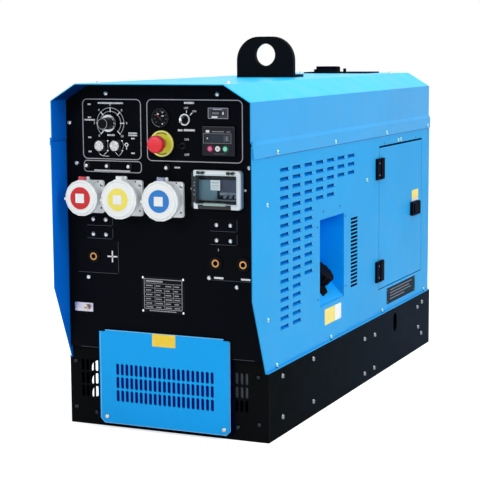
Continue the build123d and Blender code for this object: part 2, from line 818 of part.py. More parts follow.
with BuildPart() as roof_outlet_plate:
    with Locations((0, outlet_plate_y, roof_height)):
        Box(
            2 * outlet_plate_half,
            outlet_plate_depth,
            outlet_plate_thick,
            align=(Align.CENTER, Align.CENTER, Align.MIN),
        )
    fillet(roof_outlet_plate.edges().filter_by(Axis.Z), 10.0)
    with BuildSketch(Plane.XY.offset(roof_height)):
        with Locations((outlet_x, outlet_plate_y)):
            Circle(outlet_collar_r)
    extrude(amount=outlet_plate_thick + outlet_collar_height)
    with BuildSketch(Plane.XY.offset(roof_height)):
        with Locations((outlet_x, outlet_plate_y)):
            Circle(outlet_hole_r)
        with Locations(*[(x, roof_vent_y) for x in (-110, -88, 22, 44, 66, 88, 110)]):
            SlotOverall(36.0, 10.0, rotation=90)
    extrude(amount=2 * outlet_plate_thick + outlet_collar_height, mode=Mode.SUBTRACT)
    for s in (1, -1):
        ear_y = outlet_plate_y + s * (rain_knuckle / 2 + knuckle_gap)
        with Locations((rain_hinge_x, ear_y, plate_top - 1.0)):
            Box(
                2 * ear_r,
                ear_thick,
                rain_hinge_z - plate_top + 1.0,
                align=(Align.CENTER, Align.MIN if s > 0 else Align.MAX, Align.MIN),
            )
        with BuildSketch(across(ear_y if s < 0 else ear_y + ear_thick)):
            with Locations((rain_hinge_x, rain_hinge_z)):
                Circle(ear_r)
        extrude(amount=ear_thick)
    with BuildSketch(across(outlet_plate_y + rain_knuckle / 2 + 1.0)):
        with Locations((rain_hinge_x, rain_hinge_z)):
            Circle(rain_pin_r)
    extrude(amount=rain_knuckle + 2.0)
    with Locations((plate_bolt_x, outlet_plate_y, plate_top)):
        Cylinder(plate_bolt_r, plate_bolt_height, align=(Align.CENTER, Align.CENTER, Align.MIN))
save(roof_outlet_plate, "roof_outlet_plate")

with BuildPart() as rain_cap:
    with BuildSketch(Plane.XY.offset(collar_top + 0.4)):
        with Locations((outlet_x, outlet_plate_y)):
            Circle(rain_cap_r)
        with Locations((outlet_x, outlet_plate_y)):
            Rectangle(rain_hinge_x - outlet_x, rain_knuckle, align=(Align.MIN, Align.CENTER))
    extrude(amount=rain_cap_thick - 0.4)
    with BuildSketch(across(outlet_plate_y + rain_knuckle / 2)):
        with Locations((rain_hinge_x, rain_hinge_z)):
            Circle(ear_r)
    extrude(amount=rain_knuckle)
    with BuildSketch(across(outlet_plate_y + rain_knuckle)):
        with Locations((rain_hinge_x, rain_hinge_z)):
            Circle(rain_pin_r + running_gap)
    extrude(amount=2 * rain_knuckle, mode=Mode.SUBTRACT)
save(rain_cap, "rain_cap")

# ---------------------------------------------------------------- bulkhead and engine
bulkhead_inset = cover_half - (post_x + post_width / 2 + 1.0)
bulkhead_sheet = 3.0
head_half, head_height = 105.0, 85.0
rocker_half, rocker_height = 70.0, 45.0
foot_thick, foot_width = 12.0, 60.0
flywheel_r, flywheel_thick = 140.0, 25.0
housing_wall = 14.0
pump_r = 34.0
pump_out = 16.0
fan_shaft_r = 12.0
head_y, head_length = 115.0, 470.0
manifold_depth, manifold_height = 40.0, 50.0
manifold_z = engine_top + 45.0

with BuildPart() as bulkhead:
    with BuildSketch(across(bulkhead_y)):
        Polygon(*canopy_outline(bulkhead_inset, base_height), align=None)
        with Locations((0, 560.0), (0, 820.0)):
            RectangleRounded(360.0, 180.0, 12.0, mode=Mode.SUBTRACT)
    extrude(amount=bulkhead_sheet)
save(bulkhead, "bulkhead")


def mount_feet(half, y):
    """A foot reaching out over the rubber mount on each side."""
    for s in (1, -1):
        with Locations((s * half, y, mount_top)):
            Box(
                mount_x + mount_r - half + 10.0,
                foot_width,
                foot_thick,
                align=(Align.MIN if s > 0 else Align.MAX, Align.CENTER, Align.MIN),
            )


with BuildPart() as generator_housing:
    with BuildSketch(across(generator_back)):
        with Locations((0, shaft_z)):
            Circle(generator_r)
    extrude(amount=generator_back - generator_front)
    chamfer(generator_housing.faces().sort_by(Axis.Y)[0].edges(), 12.0)
    with BuildSketch(across(generator_back)):
        with Locations((0, shaft_z)):
            Circle(generator_r - housing_wall)
    extrude(amount=generator_back - generator_front - housing_wall, mode=Mode.SUBTRACT)
    with BuildSketch(across(generator_front + 2 * housing_wall)):
        with Locations((0, shaft_z)):
            Circle(2 * crank_r)
    extrude(amount=housing_wall)
    with BuildSketch(across(generator_back)):
        with Locations((0, shaft_z)):
            Circle(crank_r + running_gap)
            with PolarLocations(90.0, 8):
                Circle(14.0)
    extrude(amount=generator_back - generator_front + housing_wall, mode=Mode.SUBTRACT)
    with Locations((0, generator_mount_y, mount_top)):
        Box(150.0, foot_width, 60.0, align=(Align.CENTER, Align.CENTER, Align.MIN))
    mount_feet(60.0, generator_mount_y)
    with BuildSketch(across(generator_back)):
        with Locations((0, shaft_z)):
            Circle(generator_r - housing_wall)
    extrude(amount=generator_back - generator_front - 2 * housing_wall, mode=Mode.SUBTRACT)
save(generator_housing, "generator_housing")

with BuildPart() as engine_block:
    with Locations((0, engine_back, engine_low)):
        Box(
            2 * engine_half,
            engine_front - engine_back,
            engine_top - engine_low,
            align=(Align.CENTER, Align.MIN, Align.MIN),
        )
    fillet(engine_block.edges().filter_by(Axis.Y), 18.0)
    with Locations((0, 110.0, engine_low + 5.0)):
        Box(1.6 * engine_half, 420.0, 55.0, align=(Align.CENTER, Align.CENTER, Align.MAX))
    with BuildSketch(across(engine_back)):
        with Locations((0, shaft_z)):
            Circle(generator_r)
    extrude(amount=engine_back - generator_back)
    with BuildSketch(across(engine_front + pump_out)):
        with Locations((0, fan_z)):
            Circle(pump_r)
    extrude(amount=pump_out)
    for s in (1, -1):
        with Locations(*[(s * engine_half, y, shaft_z) for y in (-60.0, 50.0, 160.0, 270.0)]):
            Cylinder(34.0, 16.0, rotation=(0, 90, 0))
    mount_feet(engine_half - 20.0, engine_mount_y)
    with Locations((0, engine_mount_y, mount_top)):
        Box(
            2 * engine_half,
            foot_width,
            engine_low - mount_top + 5.0,
            align=(Align.CENTER, Align.CENTER, Align.MIN),
        )
    with BuildSketch(across(engine_front + pump_out)):
        with Locations((0, shaft_z)):
            Circle(crank_r + running_gap)
    extrude(amount=engine_front + pump_out - generator_back, mode=Mode.SUBTRACT)
    with BuildSketch(across(engine_back)):
        with Locations((0, shaft_z)):
            Circle(generator_r - housing_wall)
    extrude(amount=engine_back - generator_back, mode=Mode.SUBTRACT)
    with BuildSketch(across(engine_front + pump_out)):
        with Locations((0, fan_z)):
            Circle(fan_shaft_r + running_gap)
    extrude(amount=60.0, mode=Mode.SUBTRACT)
save(engine_block, "engine_block")

with BuildPart() as cylinder_head:
    with Locations((0, head_y, engine_top)):
        Box(2 * head_half, head_length, head_height, align=(Align.CENTER, Align.CENTER, Align.MIN))
    with Locations((0, head_y, engine_top + head_height)):
        Box(
            2 * rocker_half,
            head_length - 40.0,
            rocker_height,
            align=(Align.CENTER, Align.CENTER, Align.MIN),
        )
    fillet(cylinder_head.faces().sort_by(Axis.Z)[-1].edges(), 14.0)
    with Locations((0, head_y + 150.0, engine_top + head_height + rocker_height)):
        Cylinder(20.0, 22.0, align=(Align.CENTER, Align.CENTER, Align.MIN))
    with Locations((-head_half, head_y, manifold_z)):
        Box(manifold_depth, head_length - 60.0, manifold_height, align=(Align.MAX, Align.CENTER, Align.CENTER))
    with Locations(*[(-head_half + 17.0, head_y + dy, engine_top + head_height) for dy in (-150, -50, 50, 150)]):
        Cylinder(10.0, 40.0, align=(Align.CENTER, Align.CENTER, Align.MIN))
save(cylinder_head, "cylinder_head")

with BuildPart() as crank_and_rotor:
    with BuildSketch(across(pulley_y + 12.0)):
        with Locations((0, shaft_z)):
            Circle(crank_r)
    extrude(amount=pulley_y + 12.0 - generator_front + 10.0)
    with BuildSketch(across(generator_back - 5.0)):
        with Locations((0, shaft_z)):
            Circle(flywheel_r)
    extrude(amount=flywheel_thick)
    with BuildSketch(across(generator_back - 50.0)):
        with Locations((0, shaft_z)):
            Circle(rotor_r)
            with PolarLocations(rotor_r, 8):
                Rectangle(26.0, 22.0, mode=Mode.SUBTRACT)
    extrude(amount=generator_back - 50.0 - (generator_front + 50.0))
    with BuildSketch(across(pulley_y + 10.0)):
        with Locations((0, shaft_z)):
            Circle(crank_pulley_r)
    extrude(amount=20.0)
    with BuildSketch(across(pulley_y + 7.0)):
        with Locations((0, shaft_z)):
            Circle(crank_pulley_r + 1.0)
            Circle(crank_pulley_r - 5.0, mode=Mode.SUBTRACT)
    extrude(amount=14.0, mode=Mode.SUBTRACT)
save(crank_and_rotor, "crank_and_rotor")

fan_blades = 7
fan_hub_r = 45.0
with BuildPart() as cooling_fan:
    with BuildSketch(across(fan_y + 20.0)):
        with Locations((0, fan_z)):
            Circle(fan_hub_r)
    extrude(amount=40.0)
    for i in range(fan_blades):
        turn = 360.0 / fan_blades * i
        root = Plane(
            origin=(fan_hub_r * 0.8 * cos(radians(turn)), fan_y, fan_z + fan_hub_r * 0.8 * sin(radians(turn))),
            z_dir=(cos(radians(turn)), 0, sin(radians(turn))),
            x_dir=(0, 1, 0),
        )
        with BuildSketch(root):
            Rectangle(34.0, 5.0, rotation=40)
        with BuildSketch(root.offset(fan_r - fan_hub_r * 0.8 - 8.0)):
            Rectangle(70.0, 5.0, rotation=60)
        loft()
    with BuildSketch(across(fan_y)):
        with Locations((0, fan_z)):
            Circle(fan_shaft_r)
    extrude(amount=fan_y - (engine_front - 30.0))
    with BuildSketch(across(pulley_y + 10.0)):
        with Locations((0, fan_z)):
            Circle(fan_pulley_r)
    extrude(amount=20.0)
    with BuildSketch(across(pulley_y + 7.0)):
        with Locations((0, fan_z)):
            Circle(fan_pulley_r + 1.0)
            Circle(fan_pulley_r - 5.0, mode=Mode.SUBTRACT)
    extrude(amount=14.0, mode=Mode.SUBTRACT)
save(cooling_fan, "cooling_fan")

with BuildPart() as engine_mounts:
    rubber = mount_top - base_height + base_wall
    mount_places = [(s * mount_x, y, base_height - base_wall) for s in (1, -1) for y in (generator_mount_y, engine_mount_y)]
    with Locations(*mount_places):
        Cylinder(mount_r, rubber, align=(Align.CENTER, Align.CENTER, Align.MIN))
save(engine_mounts, "engine_mounts")

radiator_depth = 60.0
shroud_depth = 50.0
radiator_low = base_height - base_wall
radiator_height = radiator_top - radiator_low
with BuildPart() as radiator:
    with Locations((0, radiator_y, radiator_low)):
        Box(radiator_width, radiator_depth, radiator_height, align=(Align.CENTER, Align.CENTER, Align.MIN))
    with Locations((0, radiator_y, radiator_low + 45.0)):
        Box(
            radiator_width - 60.0,
            radiator_depth + 1.0,
            radiator_height - 110.0,
            align=(Align.CENTER, Align.CENTER, Align.MIN),
            mode=Mode.SUBTRACT,
        )
        Box(
            radiator_width - 60.0,
            radiator_depth - 16.0,
            radiator_height - 110.0,
            align=(Align.CENTER, Align.CENTER, Align.MIN),
        )
    with Locations((60.0, radiator_y, radiator_top)):
        Cylinder(18.0, 26.0, align=(Align.CENTER, Align.CENTER, Align.MIN))
    with BuildSketch(across(radiator_y - radiator_depth / 2)):
        with Locations((0, radiator_low + radiator_height / 2)):
            Rectangle(radiator_width, radiator_height)
            Rectangle(radiator_width - 10.0, radiator_height - 10.0, mode=Mode.SUBTRACT)
    extrude(amount=shroud_depth)
    with BuildSketch(across(radiator_y - radiator_depth / 2 - shroud_depth)):
        with Locations((0, radiator_low + radiator_height / 2)):
            Rectangle(radiator_width, radiator_height)
        with Locations((0, fan_z)):
            Circle(fan_r + 12.0, mode=Mode.SUBTRACT)
    extrude(amount=-4.0)
save(radiator, "radiator")

muffler_r = 75.0
muffler_half = 210.0
muffler_wall = 3.0
muffler_z = 880.0
bracket_past_middle = 26.5
bracket_reach = rear_panel_y - sheet - outlet_plate_y - bracket_past_middle
exhaust_r = 22.0
exhaust_rise_x = head_half + manifold_depth + 5.0
exhaust_y = head_y + 170.0
with BuildPart() as muffler:
    with BuildSketch(Plane.YZ.offset(-muffler_half)):
        with Locations((outlet_plate_y, muffler_z)):
            Circle(muffler_r)
    extrude(amount=2 * muffler_half)
    fillet(muffler.edges().filter_by(GeomType.CIRCLE), 14.0)
    with Locations((outlet_x, outlet_plate_y, muffler_z)):
        Cylinder(tail_pipe_r, collar_top - 4.0 - muffler_z, align=(Align.CENTER, Align.CENTER, Align.MIN))
    with Locations((head_half, head_y, manifold_z)):
        Box(manifold_depth, head_length - 60.0, manifold_height, align=(Align.MIN, Align.CENTER, Align.CENTER))
    with BuildLine() as exhaust_path:
        FilletPolyline(
            (exhaust_rise_x, exhaust_y, manifold_z - 20.0),
            (exhaust_rise_x, exhaust_y, muffler_z),
            (exhaust_rise_x, outlet_plate_y - 20.0, muffler_z),
            radius=80.0,
        )
    with BuildSketch(Plane(origin=(exhaust_rise_x, exhaust_y, manifold_z - 20.0), z_dir=(0, 0, 1))):
        Circle(exhaust_r)
    sweep(path=exhaust_path.wire())
    with Locations(*[(s * 0.6 * muffler_half, rear_panel_y - sheet, muffler_z) for s in (1, -1)]):
        Box(40.0, bracket_reach, 20.0, align=(Align.CENTER, Align.MAX, Align.CENTER))
    with BuildSketch(Plane.XY.offset(collar_top)):
        with Locations((outlet_x, outlet_plate_y)):
            Circle(tail_pipe_r - muffler_wall)
    extrude(amount=muffler_z - collar_top, mode=Mode.SUBTRACT)
    with Locations((0, outlet_plate_y, muffler_z)):
        Cylinder(muffler_r - muffler_wall, 2 * (muffler_half - 16.0), rotation=(0, 90, 0), mode=Mode.SUBTRACT)
save(muffler, "muffler")

filter_r = 68.0
filter_x, filter_z = -200.0, 760.0
filter_back, filter_front = -60.0, 190.0
duct_r = 26.0
duct_y = filter_front + 60.0
with BuildPart() as air_filter:
    with BuildSketch(across(filter_front)):
        with Locations((filter_x, filter_z)):
            Circle(filter_r)
    extrude(amount=filter_front - filter_back)
    chamfer(air_filter.edges().filter_by(GeomType.CIRCLE), 6.0)
    with BuildLine() as duct_path:
        FilletPolyline(
            (filter_x, filter_front - 5.0, filter_z),
            (filter_x, duct_y, filter_z),
            (filter_x, duct_y, manifold_z),
            (-head_half - manifold_depth, duct_y, manifold_z),
            radius=40.0,
        )
    with BuildSketch(across(filter_front - 5.0)):
        with Locations((filter_x, filter_z)):
            Circle(duct_r)
    sweep(path=duct_path.wire())
save(air_filter, "air_filter")

battery_size = (130.0, 170.0, 185.0)
battery_x = (tray_inner_x + tray_outer_x) / 2
with BuildPart() as battery:
    with Locations((battery_x, tray_y, base_height)):
        Box(*battery_size, align=(Align.CENTER, Align.CENTER, Align.MIN))
    fillet(battery.edges().filter_by(Axis.Z), 4.0)
    with Locations((battery_x, tray_y, base_height + battery_size[2])):
        Box(battery_size[0] - 10.0, battery_size[1] - 10.0, 8.0, align=(Align.CENTER, Align.CENTER, Align.MIN))
    with Locations(*[(battery_x + 35.0, tray_y + s * 60.0, base_height + battery_size[2]) for s in (1, -1)]):
        Cylinder(9.0, 26.0, align=(Align.CENTER, Align.CENTER, Align.MIN))
save(battery, "battery")

belt_gap = 0.3
belt_thick = 9.0
with BuildPart() as fan_belt:
    with BuildSketch(across(pulley_y + 6.0)):
        with Locations((0, shaft_z)):
            Circle(crank_pulley_r - 5.0 + belt_gap + belt_thick)
        with Locations((0, fan_z)):
            Circle(fan_pulley_r - 5.0 + belt_gap + belt_thick)
        make_hull()
    extrude(amount=12.0)
    with BuildSketch(across(pulley_y + 6.0)):
        with Locations((0, shaft_z)):
            Circle(crank_pulley_r - 5.0 + belt_gap)
        with Locations((0, fan_z)):
            Circle(fan_pulley_r - 5.0 + belt_gap)
        make_hull()
    extrude(amount=12.0, mode=Mode.SUBTRACT)
save(fan_belt, "fan_belt")

# ---------------------------------------------------------------- control panel
fit_gap = 0.5
knob_bushing_r = 5.0
key_hole_r = 14.0
toggle_hole_r = 7.0
estop_hole_r = 11.0
reset_hole_r = 8.0
connector_hole_r = 12.0
dinse_hole_r = 16.0
socket_rear_in = 8.0
breaker_body_wall = 3.0
controller_body = (92.0, 74.0)
meter_body = (60.0, 27.0)
gauge_body_r = 25.5
control_foot = 3.0

# name, x, lid radius, barrel radius, flange width, flange height
sockets = (
    ("red", -240.0, 54.5, 42.0, 92.0, 100.0),
    ("yellow", -112.0, 59.5, 48.0, 100.0, 108.0),
    ("blue", 25.0, 60.0, 48.0, 100.0, 106.0),
)

round_holes = [(*knob_at, knob_bushing_r), (*key_at, key_hole_r), (*toggle_at, toggle_hole_r)]
round_holes += [(*estop_at, estop_hole_r), (*gauge_at, gauge_body_r)]
round_holes += [(*place, reset_hole_r) for place in reset_places]
round_holes += [(*place, connector_hole_r) for place in connector_places]
round_holes += [(*place, dinse_hole_r) for place in dinse_places]
round_holes += [(x, socket_z, barrel - socket_rear_in) for _, x, _, barrel, _, _ in sockets]
breaker_body_size = (breaker_window_size[0] + 2 * breaker_body_wall, breaker_window_size[1] + 2 * breaker_body_wall)
square_holes = ((breaker_at, breaker_body_size), (controller_at, controller_body), (meter_at, meter_body))


def post_out(x, z, radius, start, end):
    """A round boss or shaft square to the control panel, from y = start to the lower y = end."""
    with Locations(Plane(origin=(x, start, z), z_dir=(0, -1, 0))):
        Cylinder(radius, start - end, align=(Align.CENTER, Align.CENTER, Align.MIN))


def bore_out(x, z, radius, start, end):
    """Cut the same shape from the piece being built."""
    with Locations(Plane(origin=(x, start, z), z_dir=(0, -1, 0))):
        Cylinder(radius, start - end, align=(Align.CENTER, Align.CENTER, Align.MIN), mode=Mode.SUBTRACT)


def block_out(place, size, start, end, corner=0.0, mode=Mode.ADD):
    """A rectangular block square to the control panel, with round upright corners."""
    with BuildSketch(across(start)) as outline:
        with Locations(place):
            if corner > 0:
                RectangleRounded(*size, corner)
            else:
                Rectangle(*size)
    extrude(outline.sketch, amount=start - end, mode=mode)


with BuildPart() as control_panel:
    with BuildSketch(across(panel_y + control_sheet)):
        Polygon(*canopy_outline(panel_inset, control_bottom), align=None)
        for x, z, radius in round_holes:
            with Locations((x, z)):
                Circle(radius + fit_gap, mode=Mode.SUBTRACT)
        for place, (width, height) in square_holes:
            with Locations(place):
                Rectangle(width + 2 * fit_gap, height + 2 * fit_gap, mode=Mode.SUBTRACT)
    extrude(amount=control_sheet)
    with Locations((0, panel_y + control_sheet, control_bottom)):
        Box(
            2 * front_plate_half,
            base_front_y + front_plate - panel_y - control_sheet,
            control_foot,
            align=(Align.CENTER, Align.MIN, Align.MIN),
        )
    screw_holes(control_screw_planes)
save(control_panel, "control_panel")

# ---------------------------------------------------------------- supply sockets and their lids
socket_flange = 8.0
socket_mouth_y = panel_y - 52.0
socket_wall = 5.0
insert_in = 14.0
insert_back = 20.0
lid_gap = 0.5
lid_thick = 17.5
lid_back_y = socket_mouth_y - lid_gap
collar_out = 3.0
collar_rear, collar_front = 34.0, 44.0
lid_pin_y = panel_y - collar_front
lid_pin_rise = 4.0
lid_pin_r = 2.5
lid_ear = (10.5, 16.5)
ear_half = 5.0
disc_r = 33.5
nib_size = (29.0, 28.0)
lid_sides = 16
lid_arm_in = 9.0
lid_arm_height = 16.0


def socket_pin(lid_r):
    """Height of a lid's hinge pin."""
    return socket_z + lid_r + lid_pin_rise


with BuildPart() as cee_housings:
    for _, x, lid_r, barrel, width, height in sockets:
        pin_z = socket_pin(lid_r)
        block_out((x, socket_z), (width, height), panel_y, panel_y - socket_flange, corner=8.0)
        post_out(x, socket_z, barrel, panel_y, socket_mouth_y)
        post_out(x, socket_z, barrel + collar_out, panel_y - collar_rear, panel_y - collar_front)
        ear_low = socket_z + 0.8 * barrel
        for s in (1, -1):
            ear_x = x + s * (lid_ear[0] + lid_ear[1]) / 2
            ear_width = lid_ear[1] - lid_ear[0]
            with Locations((ear_x, lid_pin_y, ear_low)):
                Box(ear_width, 2 * ear_half, pin_z - ear_low, align=(Align.CENTER, Align.CENTER, Align.MIN))
            with Locations((ear_x, lid_pin_y, pin_z)):
                Cylinder(ear_half, ear_width, rotation=(0, 90, 0))
        with Locations((x, lid_pin_y, pin_z)):
            Cylinder(lid_pin_r, 2 * lid_ear[0] + 2.0, rotation=(0, 90, 0))
        bore_out(x, socket_z, barrel - socket_wall, panel_y - 4.0, socket_mouth_y)
        post_out(x, socket_z, barrel - insert_in, panel_y, socket_mouth_y + insert_back)
        with Locations(Plane(origin=(x, socket_mouth_y + insert_back, socket_z), z_dir=(0, -1, 0))):
            with PolarLocations(0.55 * (barrel - insert_in), 4):
                Cylinder(4.0, 24.0, align=(Align.CENTER, Align.CENTER, Align.MAX), mode=Mode.SUBTRACT)
        post_out(x, socket_z, barrel - socket_rear_in, panel_y + 40.0, panel_y)
save(cee_housings, "cee_housings")


def socket_lid(x, lid_r, barrel):
    """Faceted locking lid with a round raised disc and a square nib, hinged at the top."""
    pin_z = socket_pin(lid_r)
    with BuildPart() as lid:
        with BuildSketch(across(lid_back_y)):
            with Locations((x, socket_z)):
                RegularPolygon(lid_r, lid_sides, rotation=180 / lid_sides)
        extrude(amount=lid_thick - 5.0)
        with BuildSketch(across(lid_back_y - lid_thick + 5.0)):
            with Locations((x, socket_z)):
                Circle(0.92 * lid_r)
        extrude(amount=5.0, taper=35.0)
        post_out(x, socket_z, disc_r, lid_back_y - lid_thick, lid_back_y - lid_thick - 1.5)
        block_out((x, socket_z), nib_size, lid_back_y - lid_thick, lid_back_y - lid_thick - 4.0, corner=2.0)
        with Locations((x - lid_r, lid_back_y - 5.0, socket_z - 4.0)):
            Box(12.0, 8.0, 8.0)
        with Locations((x, lid_pin_y, pin_z)):
            Cylinder(ear_half, 2 * (lid_ear[0] - lid_gap), rotation=(0, 90, 0))
        with Locations((x, lid_pin_y, pin_z + ear_half)):
            Box(
                2 * (lid_ear[0] - lid_gap),
                lid_pin_y - lid_back_y + lid_arm_in,
                lid_arm_height,
                align=(Align.CENTER, Align.MAX, Align.MAX),
            )
        with Locations((x, lid_pin_y, pin_z)):
            Cylinder(lid_pin_r + running_gap, 3 * lid_ear[0], rotation=(0, 90, 0), mode=Mode.SUBTRACT)
        bore_out(x, socket_z, barrel - socket_wall - 1.0, lid_back_y, lid_back_y - 6.0)
    return lid


for socket_name, socket_x, socket_lid_r, socket_barrel, _, _ in sockets:
    save(socket_lid(socket_x, socket_lid_r, socket_barrel), f"cee_lid_{socket_name}")

# ---------------------------------------------------------------- breaker box
frame_front_y = panel_y - breaker_frame_out
box_back_y = panel_y + 62.0
flap_thick = 3.5
flap_gap = 1.0
flap_size = (141.0, 94.0)
flap_pin_r = 2.0
flap_pin_y = frame_front_y - 5.0
flap_pin_z = breaker_at[1] + flap_size[1] / 2 + 3.0
lug_places = (-48.0, 48.0)
lug_inner, lug_width = 4.5, 6.0
breaker_modules = 4
breaker_x = breaker_at[0] + 30.0
breaker_half = breaker_modules * breaker_module / 2
breaker_nose_y = box_back_y - breaker_body_wall - 46.0
lever_z = breaker_at[1] - 14.0
lever_hub_r = 5.0
lever_y = breaker_nose_y + 3.0

with BuildPart() as breaker_box:
    block_out(breaker_at, breaker_size, panel_y, frame_front_y, corner=12.0)
    fillet(breaker_box.faces().sort_by(Axis.Y)[0].edges(), 4.0)
    block_out(breaker_at, breaker_body_size, box_back_y, panel_y)
    block_out(
        breaker_at,
        breaker_window_size,
        box_back_y - breaker_body_wall,
        frame_front_y,
        mode=Mode.SUBTRACT,
    )
    for lug_x in lug_places:
        for s in (1, -1):
            with Locations((breaker_at[0] + lug_x + s * (lug_inner + lug_width / 2), flap_pin_y, flap_pin_z)):
                Cylinder(4.5, lug_width, rotation=(0, 90, 0))
                Box(lug_width, frame_front_y - flap_pin_y + 4.0, 9.0, align=(Align.CENTER, Align.MIN, Align.CENTER))
        with Locations((breaker_at[0] + lug_x, flap_pin_y, flap_pin_z)):
            Cylinder(flap_pin_r, 2 * lug_inner + 2.0, rotation=(0, 90, 0))
    with Locations((breaker_x, box_back_y - breaker_body_wall, breaker_at[1])):
        Box(breaker_window_size[0] - 62.0, 2.0, 35.0, align=(Align.CENTER, Align.MAX, Align.CENTER))
save(breaker_box, "breaker_box")

with BuildPart() as breaker_window:
    block_out(breaker_at, flap_size, frame_front_y - flap_gap, frame_front_y - flap_gap - flap_thick, corner=3.0)
    block_out(
        (breaker_at[0], breaker_at[1] - flap_size[1] / 2 + 5.0),
        (74.0, 9.0),
        frame_front_y - flap_gap - flap_thick,
        frame_front_y - flap_gap - flap_thick - 6.0,
        corner=2.0,
    )
    for lug_x in lug_places:
        for s in (1, -1):
            with Locations((breaker_at[0] + lug_x + s * (lug_inner + lug_width / 2), flap_pin_y, flap_pin_z)):
                Cylinder(6.8, lug_width + 1.0, rotation=(0, 90, 0), mode=Mode.SUBTRACT)
        with Locations((breaker_at[0] + lug_x, flap_pin_y, flap_pin_z)):
            Cylinder(4.0, 2 * (lug_inner - 0.5), rotation=(0, 90, 0))
            Box(2 * (lug_inner - 0.5), flap_thick, 8.0, align=(Align.CENTER, Align.CENTER, Align.MAX))
            Cylinder(flap_pin_r + running_gap, 3 * lug_inner, rotation=(0, 90, 0), mode=Mode.SUBTRACT)
save(breaker_window, "breaker_window")

with BuildPart() as breakers:
    with Locations((breaker_x, box_back_y - breaker_body_wall - 2.0, breaker_at[1])):
        Box(2 * breaker_half, 44.0, 78.0, align=(Align.CENTER, Align.MAX, Align.CENTER))
    with Locations((breaker_x, breaker_nose_y + 8.0, breaker_at[1])):
        Box(2 * breaker_half, 8.0, 44.0, align=(Align.CENTER, Align.MAX, Align.CENTER))
    with Locations((breaker_x, lever_y, lever_z)):
        Cylinder(lever_hub_r + 0.4, 2 * breaker_half - 8.0, rotation=(0, 90, 0), mode=Mode.SUBTRACT)
save(breakers, "breakers")

with BuildPart() as breaker_levers:
    with Locations((breaker_x, lever_y, lever_z)):
        Cylinder(lever_hub_r, 2 * breaker_half - 9.0, rotation=(0, 90, 0))
    for i in range(3):
        lever_x = breaker_x + (i - 0.5) * breaker_module
        with Locations(Location((lever_x, lever_y, lever_z), (28.0, 0, 0))):
            Box(9.0, 19.0, 5.0, align=(Align.CENTER, Align.MAX, Align.CENTER))
save(breaker_levers, "breaker_levers")

# ---------------------------------------------------------------- welding outputs and earth
dinse_out = 8.0
dinse_length = 40.0
dinse_slot = 0.1
with BuildPart() as dinse_sockets:
    for x, z in dinse_places:
        post_out(x, z, dinse_body_r, panel_y, panel_y - dinse_out + 2.0)
        post_out(x, z, dinse_hole_r, panel_y + 30.0, panel_y)
        bore_out(x, z, dinse_contact_r + dinse_slot, panel_y + 30.0, panel_y - dinse_out)
save(dinse_sockets, "dinse_sockets")

with BuildPart() as dinse_contacts:
    for x, z in dinse_places:
        post_out(x, z, dinse_contact_r, panel_y + 44.0, panel_y - dinse_out)
        bore_out(x, z, dinse_bore_r, panel_y - dinse_out + dinse_length, panel_y - dinse_out)
        post_out(x, z, 6.0, panel_y + 70.0, panel_y + 44.0)
save(dinse_contacts, "dinse_contacts")

earth_plate = (64.0, 27.0)
earth_thick = 3.0
earth_bolt_r = 4.0
earth_bolt_out = 27.0
earth_nut_r = 9.0
with BuildPart() as earth_terminal:
    block_out((earth_at[0] - 12.0, earth_at[1]), earth_plate, panel_y, panel_y - earth_thick, corner=2.0)
    post_out(*earth_at, earth_bolt_r, panel_y, panel_y - earth_bolt_out)
save(earth_terminal, "earth_terminal")

with BuildPart() as earth_nut:
    with BuildSketch(across(panel_y - earth_thick - 5.0)):
        with Locations(earth_at):
            RegularPolygon(earth_nut_r, 6)
            Circle(earth_bolt_r + running_gap, mode=Mode.SUBTRACT)
    extrude(amount=8.0)
save(earth_nut, "earth_nut")

# ---------------------------------------------------------------- panel controls
estop_stem_r = 8.0
estop_tip_r = 4.0
estop_collar_out = 15.0
estop_stem_out = 28.0
estop_head_thick = 24.0
knob_skirt_r, knob_grip_r = 26.0, 17.7
knob_skirt, knob_out = 14.0, 50.0
spindle_r = 3.0
key_bezel_r, key_barrel_r = 17.0, 9.0
key_thick = 2.6
key_blade = 8.0
key_bow_out, key_bow_tall = 26.0, 23.0
key_start_out = 10.0
key_hole_in = 6.0
key_lean = 20.0
toggle_ball_r, toggle_stem_r = 4.8, 2.5
toggle_pivot_y = panel_y - 1.0
bezel_thick = 5.0
reset_bezel_r = 9.5

with BuildPart() as estop_base:
    post_out(*estop_at, estop_disc_r, panel_y, panel_y - 3.0)
    post_out(*estop_at, 17.0, panel_y - 3.0, panel_y - estop_collar_out)
    post_out(*estop_at, estop_hole_r, panel_y + 12.0, panel_y)
    block_out(estop_at, (30.0, 30.0), panel_y + 52.0, panel_y + 12.0, corner=3.0)
    bore_out(*estop_at, estop_stem_r + running_gap, panel_y + 32.0, panel_y - estop_collar_out)
save(estop_base, "estop_base")

with BuildPart() as estop_stem:
    post_out(*estop_at, estop_stem_r, panel_y + 20.0, panel_y - estop_stem_out)
    post_out(*estop_at, estop_tip_r, panel_y - estop_stem_out, panel_y - estop_stem_out - 16.0)
save(estop_stem, "estop_stem")

with BuildPart() as estop_head:
    post_out(*estop_at, estop_head_r, panel_y - estop_stem_out, panel_y - estop_stem_out - estop_head_thick)
    fillet(estop_head.faces().sort_by(Axis.Y)[0].edges(), 9.0)
    chamfer(estop_head.faces().sort_by(Axis.Y)[-1].edges(), 3.0)
    bore_out(*estop_at, estop_tip_r + running_gap, panel_y - estop_stem_out, panel_y - estop_stem_out - 16.5)
save(estop_head, "estop_head")

